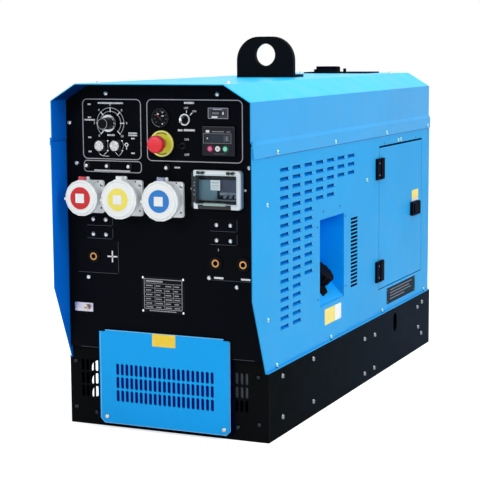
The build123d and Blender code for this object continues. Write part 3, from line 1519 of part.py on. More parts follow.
with BuildPart() as current_knob:
    post_out(*knob_at, knob_skirt_r, panel_y - 1.0, panel_y - knob_skirt)
    chamfer(current_knob.faces().sort_by(Axis.Y)[0].edges(), 4.0)
    post_out(*knob_at, knob_grip_r, panel_y - knob_skirt, panel_y - knob_out)
    chamfer(current_knob.faces().sort_by(Axis.Y)[0].edges(), 2.0)
    with BuildSketch(across(panel_y - knob_skirt - 3.0)):
        with Locations(knob_at):
            with PolarLocations(knob_grip_r + 0.8, 20):
                Circle(1.6)
    extrude(amount=knob_out, mode=Mode.SUBTRACT)
    post_out(*knob_at, spindle_r, panel_y + 20.0, panel_y - 1.0)
    bore_out(*knob_at, 11.0, panel_y - 1.0, panel_y - 5.0)
    post_out(*knob_at, spindle_r, panel_y - 1.0, panel_y - 6.0)
save(current_knob, "current_knob")

with BuildPart() as panel_bushings:
    post_out(*knob_at, 15.0, panel_y + 30.0, panel_y + control_sheet)
    post_out(*knob_at, knob_bushing_r, panel_y + control_sheet, panel_y - 3.5)
    bore_out(*knob_at, spindle_r + running_gap, panel_y + 24.0, panel_y - 4.0)
    post_out(*key_at, key_hole_r, panel_y + 34.0, panel_y)
    post_out(*key_at, key_bezel_r, panel_y, panel_y - 6.0)
    bore_out(*key_at, key_barrel_r + running_gap, panel_y + 28.0, panel_y - 6.0)
    post_out(*toggle_at, toggle_hole_r, panel_y + 24.0, panel_y - 9.0)
    post_out(*toggle_at, 10.0, panel_y, panel_y - 3.0)
    bore_out(*toggle_at, toggle_ball_r + 0.4, panel_y + 8.0, panel_y - 9.0)
    for x, z in reset_places:
        post_out(x, z, reset_hole_r, panel_y + 26.0, panel_y)
        post_out(x, z, reset_bezel_r, panel_y, panel_y - bezel_thick)
        bore_out(x, z, reset_r + 0.3, panel_y + 20.0, panel_y - bezel_thick)
    for x, z in connector_places:
        post_out(x, z, connector_hole_r, panel_y + 24.0, panel_y)
        block_out((x, z), (34.0, 34.0), panel_y, panel_y - 3.0, corner=5.0)
        post_out(x, z, 13.0, panel_y - 3.0, panel_y - connector_stand)
        bore_out(x, z, 10.0, panel_y + 4.0, panel_y - connector_stand)
save(panel_bushings, "panel_bushings")

key_plane = Plane(
    origin=(key_at[0], panel_y, key_at[1]),
    x_dir=(0, -1, 0),
    z_dir=(cos(radians(key_lean)), 0, -sin(radians(key_lean))),
)

with BuildPart() as key_barrel:
    post_out(*key_at, key_barrel_r, panel_y + 26.0, panel_y - 7.0)
    with BuildSketch(key_plane):
        with Locations((key_start_out + key_bow_out / 2, 0)):
            Ellipse(key_bow_out / 2, key_bow_tall / 2)
        Rectangle(key_start_out + 2 * key_thick, key_blade, align=(Align.MIN, Align.CENTER))
        with Locations((key_start_out + key_bow_out - key_hole_in, 0)):
            Circle(2.5, mode=Mode.SUBTRACT)
    extrude(amount=key_thick / 2, both=True)
save(key_barrel, "key_barrel")

with BuildPart() as toggle_lever:
    with Locations((toggle_at[0], toggle_pivot_y, toggle_at[1])):
        Sphere(toggle_ball_r)
    post_out(*toggle_at, toggle_stem_r, toggle_pivot_y, panel_y - 26.0)
    post_out(*toggle_at, toggle_stem_r + 1.5, panel_y - 20.0, panel_y - 30.0)
    fillet(toggle_lever.faces().sort_by(Axis.Y)[0].edges(), 2.0)
save(toggle_lever, "toggle_lever")

for number, (x, z) in enumerate(reset_places, start=1):
    with BuildPart() as reset_button:
        post_out(x, z, reset_r, panel_y + 12.0, panel_y - 14.0)
        fillet(reset_button.faces().sort_by(Axis.Y)[0].edges(), 3.0)
    save(reset_button, f"reset_button_{number}")

for number, (x, z) in enumerate(connector_places, start=1):
    with BuildPart() as connector_cap:
        with BuildSketch(across(panel_y - 3.5)):
            with Locations((x, z)):
                Circle(connector_cap_r)
                with PolarLocations(connector_cap_r + 0.6, 18):
                    Circle(1.6, mode=Mode.SUBTRACT)
        extrude(amount=connector_cap_depth)
        chamfer(connector_cap.faces().sort_by(Axis.Y)[0].edges(), 0.8)
        bore_out(x, z, 13.4, panel_y - 3.5, panel_y - connector_stand - 1.0)
    save(connector_cap, f"connector_cap_{number}")

# ---------------------------------------------------------------- instruments
controller_out = 9.0
screen_at = (controller_at[0] - 4.0, controller_at[1] + 8.0)
screen_size = (84.0, 23.0)
button_gap = 0.3
button_names = ("red", "white", "green")
button_x = [controller_at[0] - 2.0 + (i - 1) * button_pitch for i in range(3)]

with BuildPart() as instruments:
    block_out(controller_at, controller_size, panel_y, panel_y - controller_out, corner=5.0)
    block_out(controller_at, controller_body, panel_y + 46.0, panel_y, corner=2.0)
    block_out(screen_at, screen_size, panel_y - controller_out + 1.5, panel_y - controller_out, mode=Mode.SUBTRACT)
    for x in button_x:
        bore_out(x, button_row_z, button_r + button_gap, panel_y, panel_y - controller_out)
    block_out(meter_at, meter_size, panel_y, panel_y - 6.0, corner=3.0)
    block_out(meter_at, meter_body, panel_y + 32.0, panel_y)
    block_out(
        (meter_at[0], meter_at[1] + 1.0),
        (44.0, 15.0),
        panel_y - 4.5,
        panel_y - 6.0,
        mode=Mode.SUBTRACT,
    )
    post_out(*gauge_at, gauge_r, panel_y, panel_y - 7.0)
    post_out(*gauge_at, gauge_body_r, panel_y + 40.0, panel_y)
    bore_out(*gauge_at, gauge_r - 4.0, panel_y - 4.0, panel_y - 7.0)
save(instruments, "instruments")

for name, x in zip(button_names, button_x):
    with BuildPart() as controller_button:
        post_out(x, button_row_z, button_r, panel_y - 2.5, panel_y - controller_out - 3.0)
        chamfer(controller_button.faces().sort_by(Axis.Y)[0].edges(), 1.0)
    save(controller_button, f"controller_button_{name}")

# ---------------------------------------------------------------- dome head screws
with BuildPart(mode=Mode.PRIVATE) as dome_screw:
    with BuildSketch(Plane.XZ):
        with BuildLine():
            Polyline((0, screw_head_h), (0, -screw_length), (screw_r, -screw_length), (screw_r, 0), (screw_head_r, 0))
            RadiusArc((screw_head_r, 0), (0, screw_head_h), -screw_dome_r)
        make_face()
    revolve(axis=Axis.Z)
    with BuildSketch(Plane.XY.offset(screw_head_h)):
        RegularPolygon(screw_key_r, 6)
    extrude(amount=-screw_key_deep, mode=Mode.SUBTRACT)

with BuildPart() as dome_screws:
    screw_planes = lip_screw_planes + side_screw_planes + base_screw_planes + roof_screw_planes
    screw_planes += rear_screw_planes + base_front_planes + cover_screw_planes + control_screw_planes
    with Locations(*screw_planes):
        add(dome_screw.part)
save(dome_screws, "dome_screws")
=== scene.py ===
"""Looks of an engine driven welder: finishes, prints, labels and small fittings on its CAD frame."""
from math import cos, pi, radians, sin, sqrt

import bmesh
import bpy
from mathutils import Matrix, Vector


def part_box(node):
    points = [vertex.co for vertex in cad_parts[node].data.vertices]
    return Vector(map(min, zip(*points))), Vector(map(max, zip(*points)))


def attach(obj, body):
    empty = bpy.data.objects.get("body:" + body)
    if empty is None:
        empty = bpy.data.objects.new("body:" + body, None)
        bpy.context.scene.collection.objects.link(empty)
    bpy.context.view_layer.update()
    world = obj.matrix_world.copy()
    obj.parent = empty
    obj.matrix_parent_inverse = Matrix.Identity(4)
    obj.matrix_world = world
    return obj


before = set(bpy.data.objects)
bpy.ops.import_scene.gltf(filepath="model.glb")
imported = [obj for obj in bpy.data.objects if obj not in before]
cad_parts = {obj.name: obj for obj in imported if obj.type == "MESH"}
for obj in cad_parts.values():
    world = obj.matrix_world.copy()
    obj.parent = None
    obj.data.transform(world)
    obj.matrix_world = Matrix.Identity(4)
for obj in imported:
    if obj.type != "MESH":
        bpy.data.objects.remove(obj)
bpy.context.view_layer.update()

MM = 0.001
MACHINE = "machine"


# -------- places on the frame, in millimetres
def middle(node):
    """Middle of a CAD node's box, in millimetres."""
    low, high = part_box(node)
    return (low + high) / 2 / MM


def spot(node):
    """x and z of a CAD node's middle, in millimetres."""
    centre = middle(node)
    return centre.x, centre.z


shoulder_drop = 51.0
panel_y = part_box("control_panel")[0].y / MM
panel_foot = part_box("control_panel")[0].z / MM
side_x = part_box("side_door")[1].x / MM
cover_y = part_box("intake_cover")[0].y / MM
lip_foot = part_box("roof_cover")[0].z / MM
shoulder_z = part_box("roof_cover")[1].z / MM - shoulder_drop
base_top = 207.0

knob_x, knob_z = spot("current_knob")
toggle_x, toggle_z = spot("toggle_lever")
estop_x, estop_z = spot("estop_head")
estop_disc_z = middle("estop_base").z
cap_1, cap_2 = middle("connector_cap_1"), middle("connector_cap_2")
buttons = {colour: spot("controller_button_" + colour) for colour in ("red", "white", "green")}
contact_places = ((-234.0, 534.0), (177.0, 534.0), (266.0, 534.0))


# -------- finishes
def linear(red, green, blue):
    """Scene colour of a display colour given as 0 to 255."""
    channels = [c / 255 for c in (red, green, blue)]
    return tuple(c / 12.92 if c <= 0.04045 else ((c + 0.055) / 1.055) ** 2.4 for c in channels) + (1.0,)


class Finish:
    """A Principled material whose colours and relief are set by places and noise in object space."""

    def __init__(self, name, colour, roughness=0.45, metallic=0.0, specular=0.5):
        self.material = bpy.data.materials.new(name)
        self.material.use_nodes = True
        self.nodes = self.material.node_tree.nodes
        self.links = self.material.node_tree.links
        self.shader = self.nodes["Principled BSDF"]
        self.shader.inputs["Base Color"].default_value = colour
        self.shader.inputs["Roughness"].default_value = roughness
        self.shader.inputs["Metallic"].default_value = metallic
        self.shader.inputs["Specular IOR Level"].default_value = specular
        self.place = self.nodes.new("ShaderNodeTexCoord").outputs["Object"]
        self.colour, self.painted = colour, None
        self.roughness = roughness

    def noise(self, scale, detail=2.0, stretch=None):
        """Noise in object space, stretched along an axis if asked."""
        place = self.place
        if stretch:
            mapping = self.nodes.new("ShaderNodeMapping")
            mapping.inputs["Scale"].default_value = stretch
            self.links.new(place, mapping.inputs["Vector"])
            place = mapping.outputs["Vector"]
        node = self.nodes.new("ShaderNodeTexNoise")
        node.inputs["Scale"].default_value = scale
        node.inputs["Detail"].default_value = detail
        self.links.new(place, node.inputs["Vector"])
        return node.outputs["Fac"]

    def ramp(self, value, low, high, start=0.3, end=0.7):
        """A value mapped to a range, and held at its ends."""
        node = self.nodes.new("ShaderNodeMapRange")
        node.inputs["From Min"].default_value = start
        node.inputs["From Max"].default_value = end
        node.inputs["To Min"].default_value = low
        node.inputs["To Max"].default_value = high
        self.links.new(value, node.inputs["Value"])
        return node.outputs["Result"]

    def both(self, first, second):
        """Product of two masks."""
        node = self.nodes.new("ShaderNodeMath")
        node.operation = "MULTIPLY"
        self.links.new(first, node.inputs[0])
        self.links.new(second, node.inputs[1])
        return node.outputs["Value"]

    def zone(self, soft=0.6, **spans):
        """1 between the given millimetres along x, y or z, and 0 outside, with soft edges."""
        split = self.nodes.new("ShaderNodeSeparateXYZ")
        self.links.new(self.place, split.inputs["Vector"])
        mask = None
        for axis, (low, high) in spans.items():
            for edge, inside in ((low, 1.0), (high, 0.0)):
                if edge is None:
                    continue
                start, end = (edge - soft / 2) * MM, (edge + soft / 2) * MM
                side = self.ramp(split.outputs[axis.upper()], 1.0 - inside, inside, start, end)
                mask = self.both(mask, side) if mask else side
        return mask

    def across(self, u, v):
        """Place seen from the front, as a vector from the point at the given x and z."""
        shift = self.nodes.new("ShaderNodeVectorMath")
        shift.operation = "MULTIPLY_ADD"
        shift.inputs[1].default_value = (1.0, 0.0, 1.0)
        shift.inputs[2].default_value = (-u * MM, 0.0, -v * MM)
        self.links.new(self.place, shift.inputs[0])
        return shift.outputs["Vector"]

    def disc(self, u, v, inner, outer, soft=0.6):
        """1 between two radii round a point of a face that looks forward."""
        place = self.across(u, v)
        far = self.nodes.new("ShaderNodeVectorMath")
        far.operation = "LENGTH"
        self.links.new(place, far.inputs[0])
        reach = far.outputs["Value"]
        low = self.ramp(reach, 0.0, 1.0, (inner - soft / 2) * MM, (inner + soft / 2) * MM)
        high = self.ramp(reach, 1.0, 0.0, (outer - soft / 2) * MM, (outer + soft / 2) * MM)
        return self.both(low, high)

    def inward(self, height):
        """1 on faces that look at the machine's long axis at the given height, in millimetres."""
        place = self.across(0.0, height)
        lean = self.nodes.new("ShaderNodeVectorMath")
        lean.operation = "DOT_PRODUCT"
        self.links.new(place, lean.inputs[0])
        self.links.new(self.place.node.outputs["Normal"], lean.inputs[1])
        return self.ramp(lean.outputs["Value"], 1.0, 0.0, -0.01, 0.0)

    def mixer(self):
        """A colour mixer whose first colour is the finish so far."""
        mix = self.nodes.new("ShaderNodeMix")
        mix.data_type = "RGBA"
        mix.inputs["A"].default_value = self.colour
        if self.painted:
            self.links.new(self.painted, mix.inputs["A"])
        return mix

    def tint(self, colour, mask):
        """Another display colour where a mask is 1."""
        mix = self.mixer()
        mix.inputs["B"].default_value = linear(*colour)
        self.links.new(mask, mix.inputs["Factor"])
        self.painted = mix.outputs["Result"]
        return self

    def metal(self, mask):
        """Metal where a mask is 1."""
        self.links.new(mask, self.shader.inputs["Metallic"])
        return self

    def mottle(self, spread, scale, stretch=None):
        """Lighter and darker patches over the colours."""
        mix = self.mixer()
        mix.blend_type = "MULTIPLY"
        mix.inputs["Factor"].default_value = 1.0
        patches = self.ramp(self.noise(scale, 4.0, stretch), 1 - 2 * spread, 1.0)
        self.links.new(patches, mix.inputs["B"])
        self.links.new(mix.outputs["Result"], self.shader.inputs["Base Color"])
        return self

    def sheen_spots(self, spread, scale):
        """Rougher and smoother patches."""
        low, high = self.roughness - spread, self.roughness + spread
        spots = self.ramp(self.noise(scale, 3.0), low, high)
        self.links.new(spots, self.shader.inputs["Roughness"])
        return self

    def bump(self, height, scale, edge=0.0, stretch=None):
        """Fine relief, over edges rounded by the given radius in metres."""
        node = self.nodes.new("ShaderNodeBump")
        node.inputs["Strength"].default_value = 0.6
        node.inputs["Distance"].default_value = height
        self.links.new(self.noise(scale, 2.0, stretch), node.inputs["Height"])
        if edge > 0:
            bevel = self.nodes.new("ShaderNodeBevel")
            bevel.samples = 4
            bevel.inputs["Radius"].default_value = edge
            self.links.new(bevel.outputs["Normal"], node.inputs["Normal"])
        self.links.new(node.outputs["Normal"], self.shader.inputs["Normal"])
        return self

    def coat(self, weight, roughness):
        """A clear gloss coat."""
        self.shader.inputs["Coat Weight"].default_value = weight
        self.shader.inputs["Coat Roughness"].default_value = roughness
        return self

    def powder(self):
        """Sprayed and baked paint with a fine orange peel."""
        return self.mottle(0.03, 3.0).sheen_spots(0.05, 12.0).bump(0.0002, 900.0, edge=0.0012).material

    def plated(self):
        """Bright plated or machined metal with fine handling marks."""
        return self.mottle(0.08, 60.0).sheen_spots(0.08, 300.0).bump(0.00005, 300.0, edge=0.0005).material

    def moulded(self):
        """Injection moulded plastic with a light spark texture."""
        return self.mottle(0.02, 20.0).sheen_spots(0.05, 80.0).bump(0.00006, 1500.0, edge=0.0007).material

    def printed(self):
        """Screen printed ink or vinyl, slightly uneven."""
        return self.mottle(0.04, 90.0).sheen_spots(0.08, 200.0).material


def powder_coat(name, colour, roughness, specular):
    return Finish(name, linear(*colour), roughness, specular=specular)


def metal_finish(name, colour, roughness):
    return Finish(name, linear(*colour), roughness, metallic=1.0)


def plastic(name, colour, roughness=0.38, specular=0.4):
    return Finish(name, linear(*colour), roughness, specular=specular)


def ink(name, colour):
    return Finish(name, linear(*colour), 0.5, specular=0.25).printed()


def paint(material, *nodes):
    """Gives CAD nodes their finish."""
    for name in nodes:
        for material_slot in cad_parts[name].material_slots:
            material_slot.material = material


# -------- supply socket lids
lid_facet = cos(pi / 16)
lid_face_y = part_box("cee_lid_blue")[0].y / MM + 4.0
lid_disc, lid_arm = 34.2, 10.3
lid_white = (236, 240, 241)
lids = (
    ("cee_lid_red", 54.5, (200, 24, 34), (206, 70, 84)),
    ("cee_lid_yellow", 59.5, (240, 226, 96), lid_white),
    ("cee_lid_blue", 60.0, (26, 122, 204), (150, 156, 186)),
)


def lid_centre(node, radius):
    """Centre of a socket lid's face."""
    low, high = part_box(node)
    return high.x / MM - radius * lid_facet, low.z / MM + radius * lid_facet


for name, radius, disc_colour, arm_colour in lids:
    u, v = lid_centre(name, radius)
    lid = plastic(name + "_finish", lid_white, 0.32)
    face = lid.zone(y=(lid_face_y - 2.2, lid_face_y - 0.2), soft=0.1)
    lid.tint(disc_colour, lid.both(face, lid.disc(u, v, -5.0, lid_disc)))
    lid.tint(arm_colour, lid.zone(x=(u - lid_arm, u + lid_arm), z=(v + radius - 0.5, None)))
    paint(lid.moulded(), name)

# -------- painted sheet metal
blue = (34, 160, 227)
louvre_shade_blue, flange_shade_blue, inside_shade_blue = (0, 128, 232), (4, 116, 232), (0, 72, 150)
paint(powder_coat("blue_powder_coat", blue, 0.42, 0.05).powder(), "rear_panel")

roof = powder_coat("roof_powder_coat", blue, 0.36, 0.08).coat(0.12, 0.2)
# painted light: the roof's upper slope above the shoulder fold is a brighter cyan blue, where the top light
# falls on it
roof.tint((20, 186, 240), roof.zone(z=(shoulder_z + 1.0, None), soft=1.0))
# painted shade: the inside of the hood's left flank, which looks at the controls, is a darker blue, and its
# top is darker still as painted shadow
hood_inside = roof.both(roof.inward(700.0), roof.zone(x=(None, -200.0), y=(None, panel_y)))
roof.tint((4, 110, 226), hood_inside)
roof.tint((2, 44, 110), roof.both(hood_inside, roof.zone(z=(shoulder_z, None), soft=6.0)))
paint(roof.powder(), "roof_cover")


def skins(depth):
    """x ranges of the right and the left side sheet, further in than the given depth."""
    return (sheet_inside, side_x - depth), (depth - side_x, -sheet_inside)


# painted shade: darker blues on the pressed louvres' tabs, on the left flange that the hood shows, and on
# the insides seen through door and grilles
sheet_inside, louvre_depth, skin_depth, engine_bay_y = 300.0, 1.6, 1.2, 60.0
louvred = powder_coat("louvred_powder_coat", blue, 0.42, 0.05)
for skin in skins(louvre_depth):
    louvred.tint(louvre_shade_blue, louvred.zone(x=skin, y=(-668.0, 12.0), z=(300.0, 810.0)))
louvred.tint(flange_shade_blue, louvred.zone(x=skins(skin_depth)[1], y=(None, panel_y + 20.0)))
for skin in skins(skin_depth):
    louvred.tint(inside_shade_blue, louvred.zone(x=skin, y=(engine_bay_y, None)))
paint(louvred.powder(), "side_panel_right", "side_panel_left")

door = powder_coat("door_powder_coat", blue, 0.42, 0.05)
# painted shade: the door's inner faces are a darker blue
door.tint((0, 66, 140), door.zone(x=(None, side_x - skin_depth)))
paint(door.powder(), "side_door")

pocket = powder_coat("pocket_powder_coat", (4, 166, 254), 0.45, 0.03)
# painted shade: darker blue towards the top of the filler pocket
pocket.tint((0, 132, 230), pocket.zone(z=(600.0, None), soft=70.0))
# painted light: lighter blue on the pocket's lit sloping floor near the bottom
pocket.tint((28, 160, 238), pocket.zone(z=(None, 372.0), soft=26.0))
paint(pocket.powder(), "filler_pocket")
paint(powder_coat("intake_powder_coat", (24, 168, 247), 0.42, 0.08).powder(), "intake_cover")

base = powder_coat("base_powder_coat", (8, 12, 14), 0.6, 0.004)
# painted reflection: the black base turns a lighter navy towards the rear
base.tint((24, 34, 46), base.zone(y=(engine_bay_y, None), soft=1500.0))
base.tint((20, 110, 225), base.zone(x=(-326.0, 326.0), y=(None, 850.0), z=(2.0, 205.0)))  # inside of the tub
paint(base.powder(), "base_frame")
black_coat = powder_coat("black_powder_coat", (11, 12, 16), 0.55, 0.03)
paint(black_coat.powder(), "lifting_frame", "bulkhead", "roof_outlet_plate")
front_base = powder_coat("front_base_powder_coat", (13, 15, 17), 0.6, 0.01)
# painted shade: dark navy on the base front behind the intake cover, where the cover shades it
front_base.tint((0, 6, 48), front_base.zone(x=(-217.0, 223.0), z=(14.0, 311.0)))  # behind the intake cover
paint(front_base.powder(), "base_front_panel")
paint(powder_coat("panel_black", (11, 13, 18), 0.60, 0.012).powder(), "control_panel")
hinge_coat = powder_coat("hinge_black", (8, 11, 26), 0.5, 0.006)
paint(hinge_coat.powder(), "hinge_leaves", "door_fittings", "latch_paddle", "rain_cap")

# -------- metals
screw = metal_finish("bright_screws", (200, 202, 206), 0.24)
on_side_sheet = side_x - 3.0, None
# painted reflection: screws on the side sheets are tinted cyan for the blue they reflect
screw.tint((132, 182, 200), screw.zone(x=on_side_sheet, z=(base_top, None)))
screw.tint((44, 48, 54), screw.zone(y=(panel_y - 4.0, None), z=(None, base_top)))
# painted highlight: the dark screws on the base's sides are a lighter grey than those on its front
screw.tint((122, 130, 138), screw.zone(x=on_side_sheet, z=(None, base_top)))
paint(screw.plated(), "dome_screws")
zinc = metal_finish("zinc_plate", (214, 220, 226), 0.22).plated()
nickel = metal_finish("nickel_plate", (214, 214, 212), 0.2).plated()
paint(nickel, *(f"reset_button_{number}" for number in (1, 2, 3, 4)))
key_metal = metal_finish("key_nickel", (214, 214, 212), 0.2)
key_metal.tint((16, 17, 21), key_metal.zone(y=(panel_y - 7.5, None)))
paint(key_metal.plated(), "key_barrel")
steel = metal_finish("bright_steel", (176, 178, 182), 0.32).plated()
paint(steel, "crank_and_rotor", "muffler")
paint(metal_finish("earth_bar_plate", (188, 186, 204), 0.3).plated(), "earth_terminal")
brass = metal_finish("machined_brass", (196, 144, 88), 0.3)
for place in contact_places:
    brass.tint((20, 16, 16), brass.disc(*place, 11.4, 20.0))
paint(brass.plated(), "dinse_contacts")
paint(metal_finish("earth_nut_brass", (214, 196, 170), 0.25).plated(), "earth_nut")
cap_metal = metal_finish("cap_nickel", (218, 220, 224), 0.3).mottle(0.28, 260.0).sheen_spots(0.12, 300.0)
paint(cap_metal.bump(0.0004, 420.0, edge=0.0008).material, "connector_cap_1", "connector_cap_2")

# -------- plastics, castings and rubber
bushing = plastic("bushing_black", (16, 17, 21), 0.4, 0.2)
key_ring = bushing.disc(*spot("key_barrel"), 13.8, 22.0)
paint(bushing.tint((206, 208, 212), key_ring).metal(key_ring).moulded(), "panel_bushings")

cast = Finish("painted_casting", linear(52, 56, 60), 0.6, specular=0.3).mottle(0.15, 14.0)
cast.sheen_spots(0.08, 60.0).bump(0.0008, 260.0, edge=0.002)
paint(cast.material, "engine_block", "cylinder_head", "generator_housing")
white_plastic = plastic("white_plastic", lid_white, 0.32).moulded()
paint(plastic("housing_plastic", (240, 244, 246), 0.35).moulded(), "cee_housings")
paint(plastic("black_plastic", (14, 15, 19), 0.42, 0.05).moulded(), "dinse_sockets", "toggle_lever")
# patches stretched along the knob's flutes: partly wear, partly painted sheen in place of glints on the
# flutes
knob = plastic("knob_plastic", (18, 19, 24), 0.4, 0.05).mottle(0.4, 260.0, (1.0, 0.1, 1.0))
paint(knob.sheen_spots(0.08, 90.0).bump(0.0003, 500.0).material, "current_knob")
instrument = plastic("instrument_plastic", (14, 15, 19), 0.45, 0.15)
right_column = 130.0, None  # controller, with the hour meter above it
instrument.tint((20, 21, 30), instrument.zone(x=right_column, z=(None, 940.0)))
instrument.tint((64, 64, 76), instrument.zone(x=right_column, z=(955.0, None)))
paint(instrument.moulded(), "instruments")
paint(plastic("fan_plastic", (28, 28, 30), 0.5, 0.3).moulded(), "cooling_fan", "air_filter", "battery")

head = plastic("red_plastic", (226, 34, 48), 0.34)
# painted light: the top of the red head is a lighter red
head.tint((236, 62, 78), head.zone(z=(estop_z + 6.0, None), soft=22.0))
paint(head.moulded(), "estop_head", "estop_stem")
collar = plastic("yellow_plastic", (226, 224, 70), 0.36)
# painted highlight: a paler yellow ring along the rim of the yellow disc
collar.tint((238, 238, 150), collar.disc(estop_x, estop_disc_z, 34.6, 38.4))
# painted shade: the yellow collar under the red head is a darker gold
collar.tint((190, 150, 36), collar.zone(y=(None, panel_y - 3.4)))
paint(collar.moulded(), "estop_base")
button_rim = 6.6, 14.0
pink = plastic("pink_button", (226, 112, 158), 0.35)
pink.tint((150, 40, 80), pink.disc(*buttons["red"], *button_rim))
paint(pink.moulded(), "controller_button_red")
paint(plastic("white_button", (240, 240, 240), 0.35).moulded(), "controller_button_white")
green = plastic("green_button", (138, 224, 186), 0.35)
green.tint((16, 120, 92), green.disc(*buttons["green"], *button_rim))
paint(green.moulded(), "controller_button_green")

rubber = Finish("mount_rubber", linear(13, 13, 16), 0.8, specular=0.02)
rubber = rubber.mottle(0.1, 30.0).bump(0.0002, 400.0, edge=0.001).material
paint(rubber, "engine_mounts", "fan_belt")
paint(plastic("tank_plastic", (14, 15, 20), 0.55, 0.02).moulded(), "fuel_tank", "fuel_cap")
core = Finish("radiator_black", linear(26, 27, 30), 0.55, specular=0.3).mottle(0.2, 300.0, (0.2, 1.0, 4.0))
paint(core.bump(0.001, 500.0, stretch=(0.1, 0.1, 3.0)).material, "radiator")

# -------- breaker box
low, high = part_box("breaker_box")
frame_left, frame_right, frame_low, frame_high = low.x / MM, high.x / MM, low.z / MM, high.z / MM
frame_front, hinge_front = 18.0, 27.0
breaker = plastic("breaker_grey", (84, 90, 108), 0.4, 0.1)
paint(breaker.tint((30, 34, 46), breaker.zone(z=(None, 742.0))).moulded(), "breakers")
paint(plastic("lever_plastic", (132, 142, 154), 0.3, 0.3).moulded(), "breaker_levers")

box_plastic = plastic("breaker_box_plastic", (232, 238, 240), 0.36)
dark_spans = (
    {"x": (None, frame_left + 9.0)},
    {"x": (None, frame_left + 16.0), "z": (frame_low + 18.0, frame_high - 18.0), "soft": 4.0},
    {"x": (frame_left + 22.0, frame_right - 32.0), "z": (None, frame_low + 14.0)},
    {"y": (None, panel_y - frame_front - 0.6)},
)
for spans in dark_spans:
    box_plastic.tint((16, 22, 28), box_plastic.zone(**spans))
inside = box_plastic.zone(x=(frame_left + 11.0, frame_right - 12.0), y=(panel_y - 12.0, None))
paint(box_plastic.tint((50, 70, 84), inside).moulded(), "breaker_box")

# -------- inks, vinyl and plates
white_ink = ink("white_ink", (232, 235, 238))
frame_ink = ink("frame_ink", (176, 177, 184))
grey_ink = ink("grey_ink", (128, 131, 138))
faint_ink = ink("faint_ink", (66, 70, 80))
dark_ink = ink("dark_ink", (24, 24, 30))
red_ink = ink("red_ink", (132, 34, 58))
green_ink = ink("green_ink", (14, 92, 72))
teal_ink = ink("teal_ink", (24, 40, 52))
yellow_vinyl = ink("yellow_vinyl", (250, 214, 66))
pale_vinyl = ink("pale_yellow_vinyl", (242, 224, 122))
white_vinyl = ink("white_vinyl", (240, 242, 242))
plate_black = Finish("anodised_plate", linear(18, 20, 24), 0.5, specular=0.03)
plate_black = plate_black.mottle(0.08, 30.0).sheen_spots(0.06, 60.0).material
edge_paint = powder_coat("pale_edge_grey", (92, 97, 106), 0.5, 0.1).powder()

window = Finish("smoked_window", linear(228, 236, 240), 0.05, specular=0.2)
window.shader.inputs["Transmission Weight"].default_value = 1.0
window.shader.inputs["IOR"].default_value = 1.12
paint(window.sheen_spots(0.02, 30.0).material, "breaker_window")


# -------- building pieces
print_thick = 0.25


def on_panel(u, v, out):
    """Point on the control panel: x, z and the distance in front of it."""
    return Vector((u, panel_y - out, v)) * MM


def on_cover(u, v, out):
    """Point on the intake cover's front."""
    return Vector((u, cover_y - out, v)) * MM


def on_side(u, v, out):
    """Point on the right side: y, z and the distance outside it."""
    return Vector((side_x + out, u, v)) * MM


def on_left(u, v, out):
    """Point on the left side: y, z and the distance outside it."""
    return Vector((-side_x - out, u, v)) * MM


def piece(name, builder, material, body):
    """Turns a bmesh into an object that rides on a CAD body."""
    bmesh.ops.recalc_face_normals(builder, faces=builder.faces)
    mesh = bpy.data.meshes.new(name)
    builder.to_mesh(mesh)
    builder.free()
    mesh.materials.append(material)
    obj = bpy.data.objects.new(name, mesh)
    bpy.context.scene.collection.objects.link(obj)
    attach(obj, body)
    return obj


def smooth(obj):
    """Smooth shading except over sharp edges."""
    obj.data.shade_smooth()
    obj.data.set_sharp_from_angle(angle=radians(35))
    return obj


def soften(obj, width):
    """Rounds the edges of a piece by a width in millimetres."""
    bevel = obj.modifiers.new("round_edges", "BEVEL")
    bevel.width = width * MM
    bevel.segments = 2
    bevel.limit_method = "ANGLE"
    bevel.angle_limit = radians(40)
    return smooth(obj)


def slab(builder, outline, place, low, high):
    """Adds a flat piece with the given outline between two distances from a face."""
    rings = [[builder.verts.new(place(u, v, out)) for u, v in outline] for out in (low, high)]
    builder.faces.new(rings[0])
    builder.faces.new(list(reversed(rings[1])))
    count = len(outline)
    for i in range(count):
        j = (i + 1) % count
        builder.faces.new((rings[0][i], rings[0][j], rings[1][j], rings[1][i]))


def stroke(points, width, closed=False):
    """Outlines of a line of constant width along points."""
    count = len(points)
    sides = []
    for i, (u, v) in enumerate(points):
        before = points[i - 1] if i > 0 or closed else points[i]
        after = points[(i + 1) % count] if i < count - 1 or closed else points[i]
        into, out_of = Vector((u, v)) - Vector(before), Vector(after) - Vector((u, v))
        into = into.normalized() if into.length > 0 else out_of.normalized()
        out_of = out_of.normalized() if out_of.length > 0 else into
        along = (into + out_of).normalized()
        reach = width / 2 / max(along.dot(into), 0.5)
        normal = Vector((-along.y, along.x)) * reach
        sides.append(((u + normal.x, v + normal.y), (u - normal.x, v - normal.y)))
    outlines = []
    for i in range(count if closed else count - 1):
        (a, b), (c, d) = sides[i], sides[(i + 1) % count]
        outlines.append([a, b, d, c])
    return outlines


def polar(u, v, reach, turn):
    """Point at a distance and an angle in radians from another."""
    return u + reach * cos(turn), v + reach * sin(turn)


def rectangle(left, low, right, high):
    return [(left, low), (right, low), (right, high), (left, high)]


def rounded(low, high, radius, steps=5):
    """Outline of a rectangle with round corners, from its low and high corners."""
    (u0, v0), (u1, v1) = low, high
    corners = ((u1 - radius, v1 - radius, 0), (u0 + radius, v1 - radius, 90))
    corners += ((u0 + radius, v0 + radius, 180), (u1 - radius, v0 + radius, 270))
    return [point for u, v, start in corners for point in arc(u, v, radius, start, start + 90, steps)]


def arc(u, v, radius, start, end, steps):
    """Points on an arc, in degrees."""
    turns = [radians(start + (end - start) * i / steps) for i in range(steps + 1)]
    return [polar(u, v, radius, turn) for turn in turns]


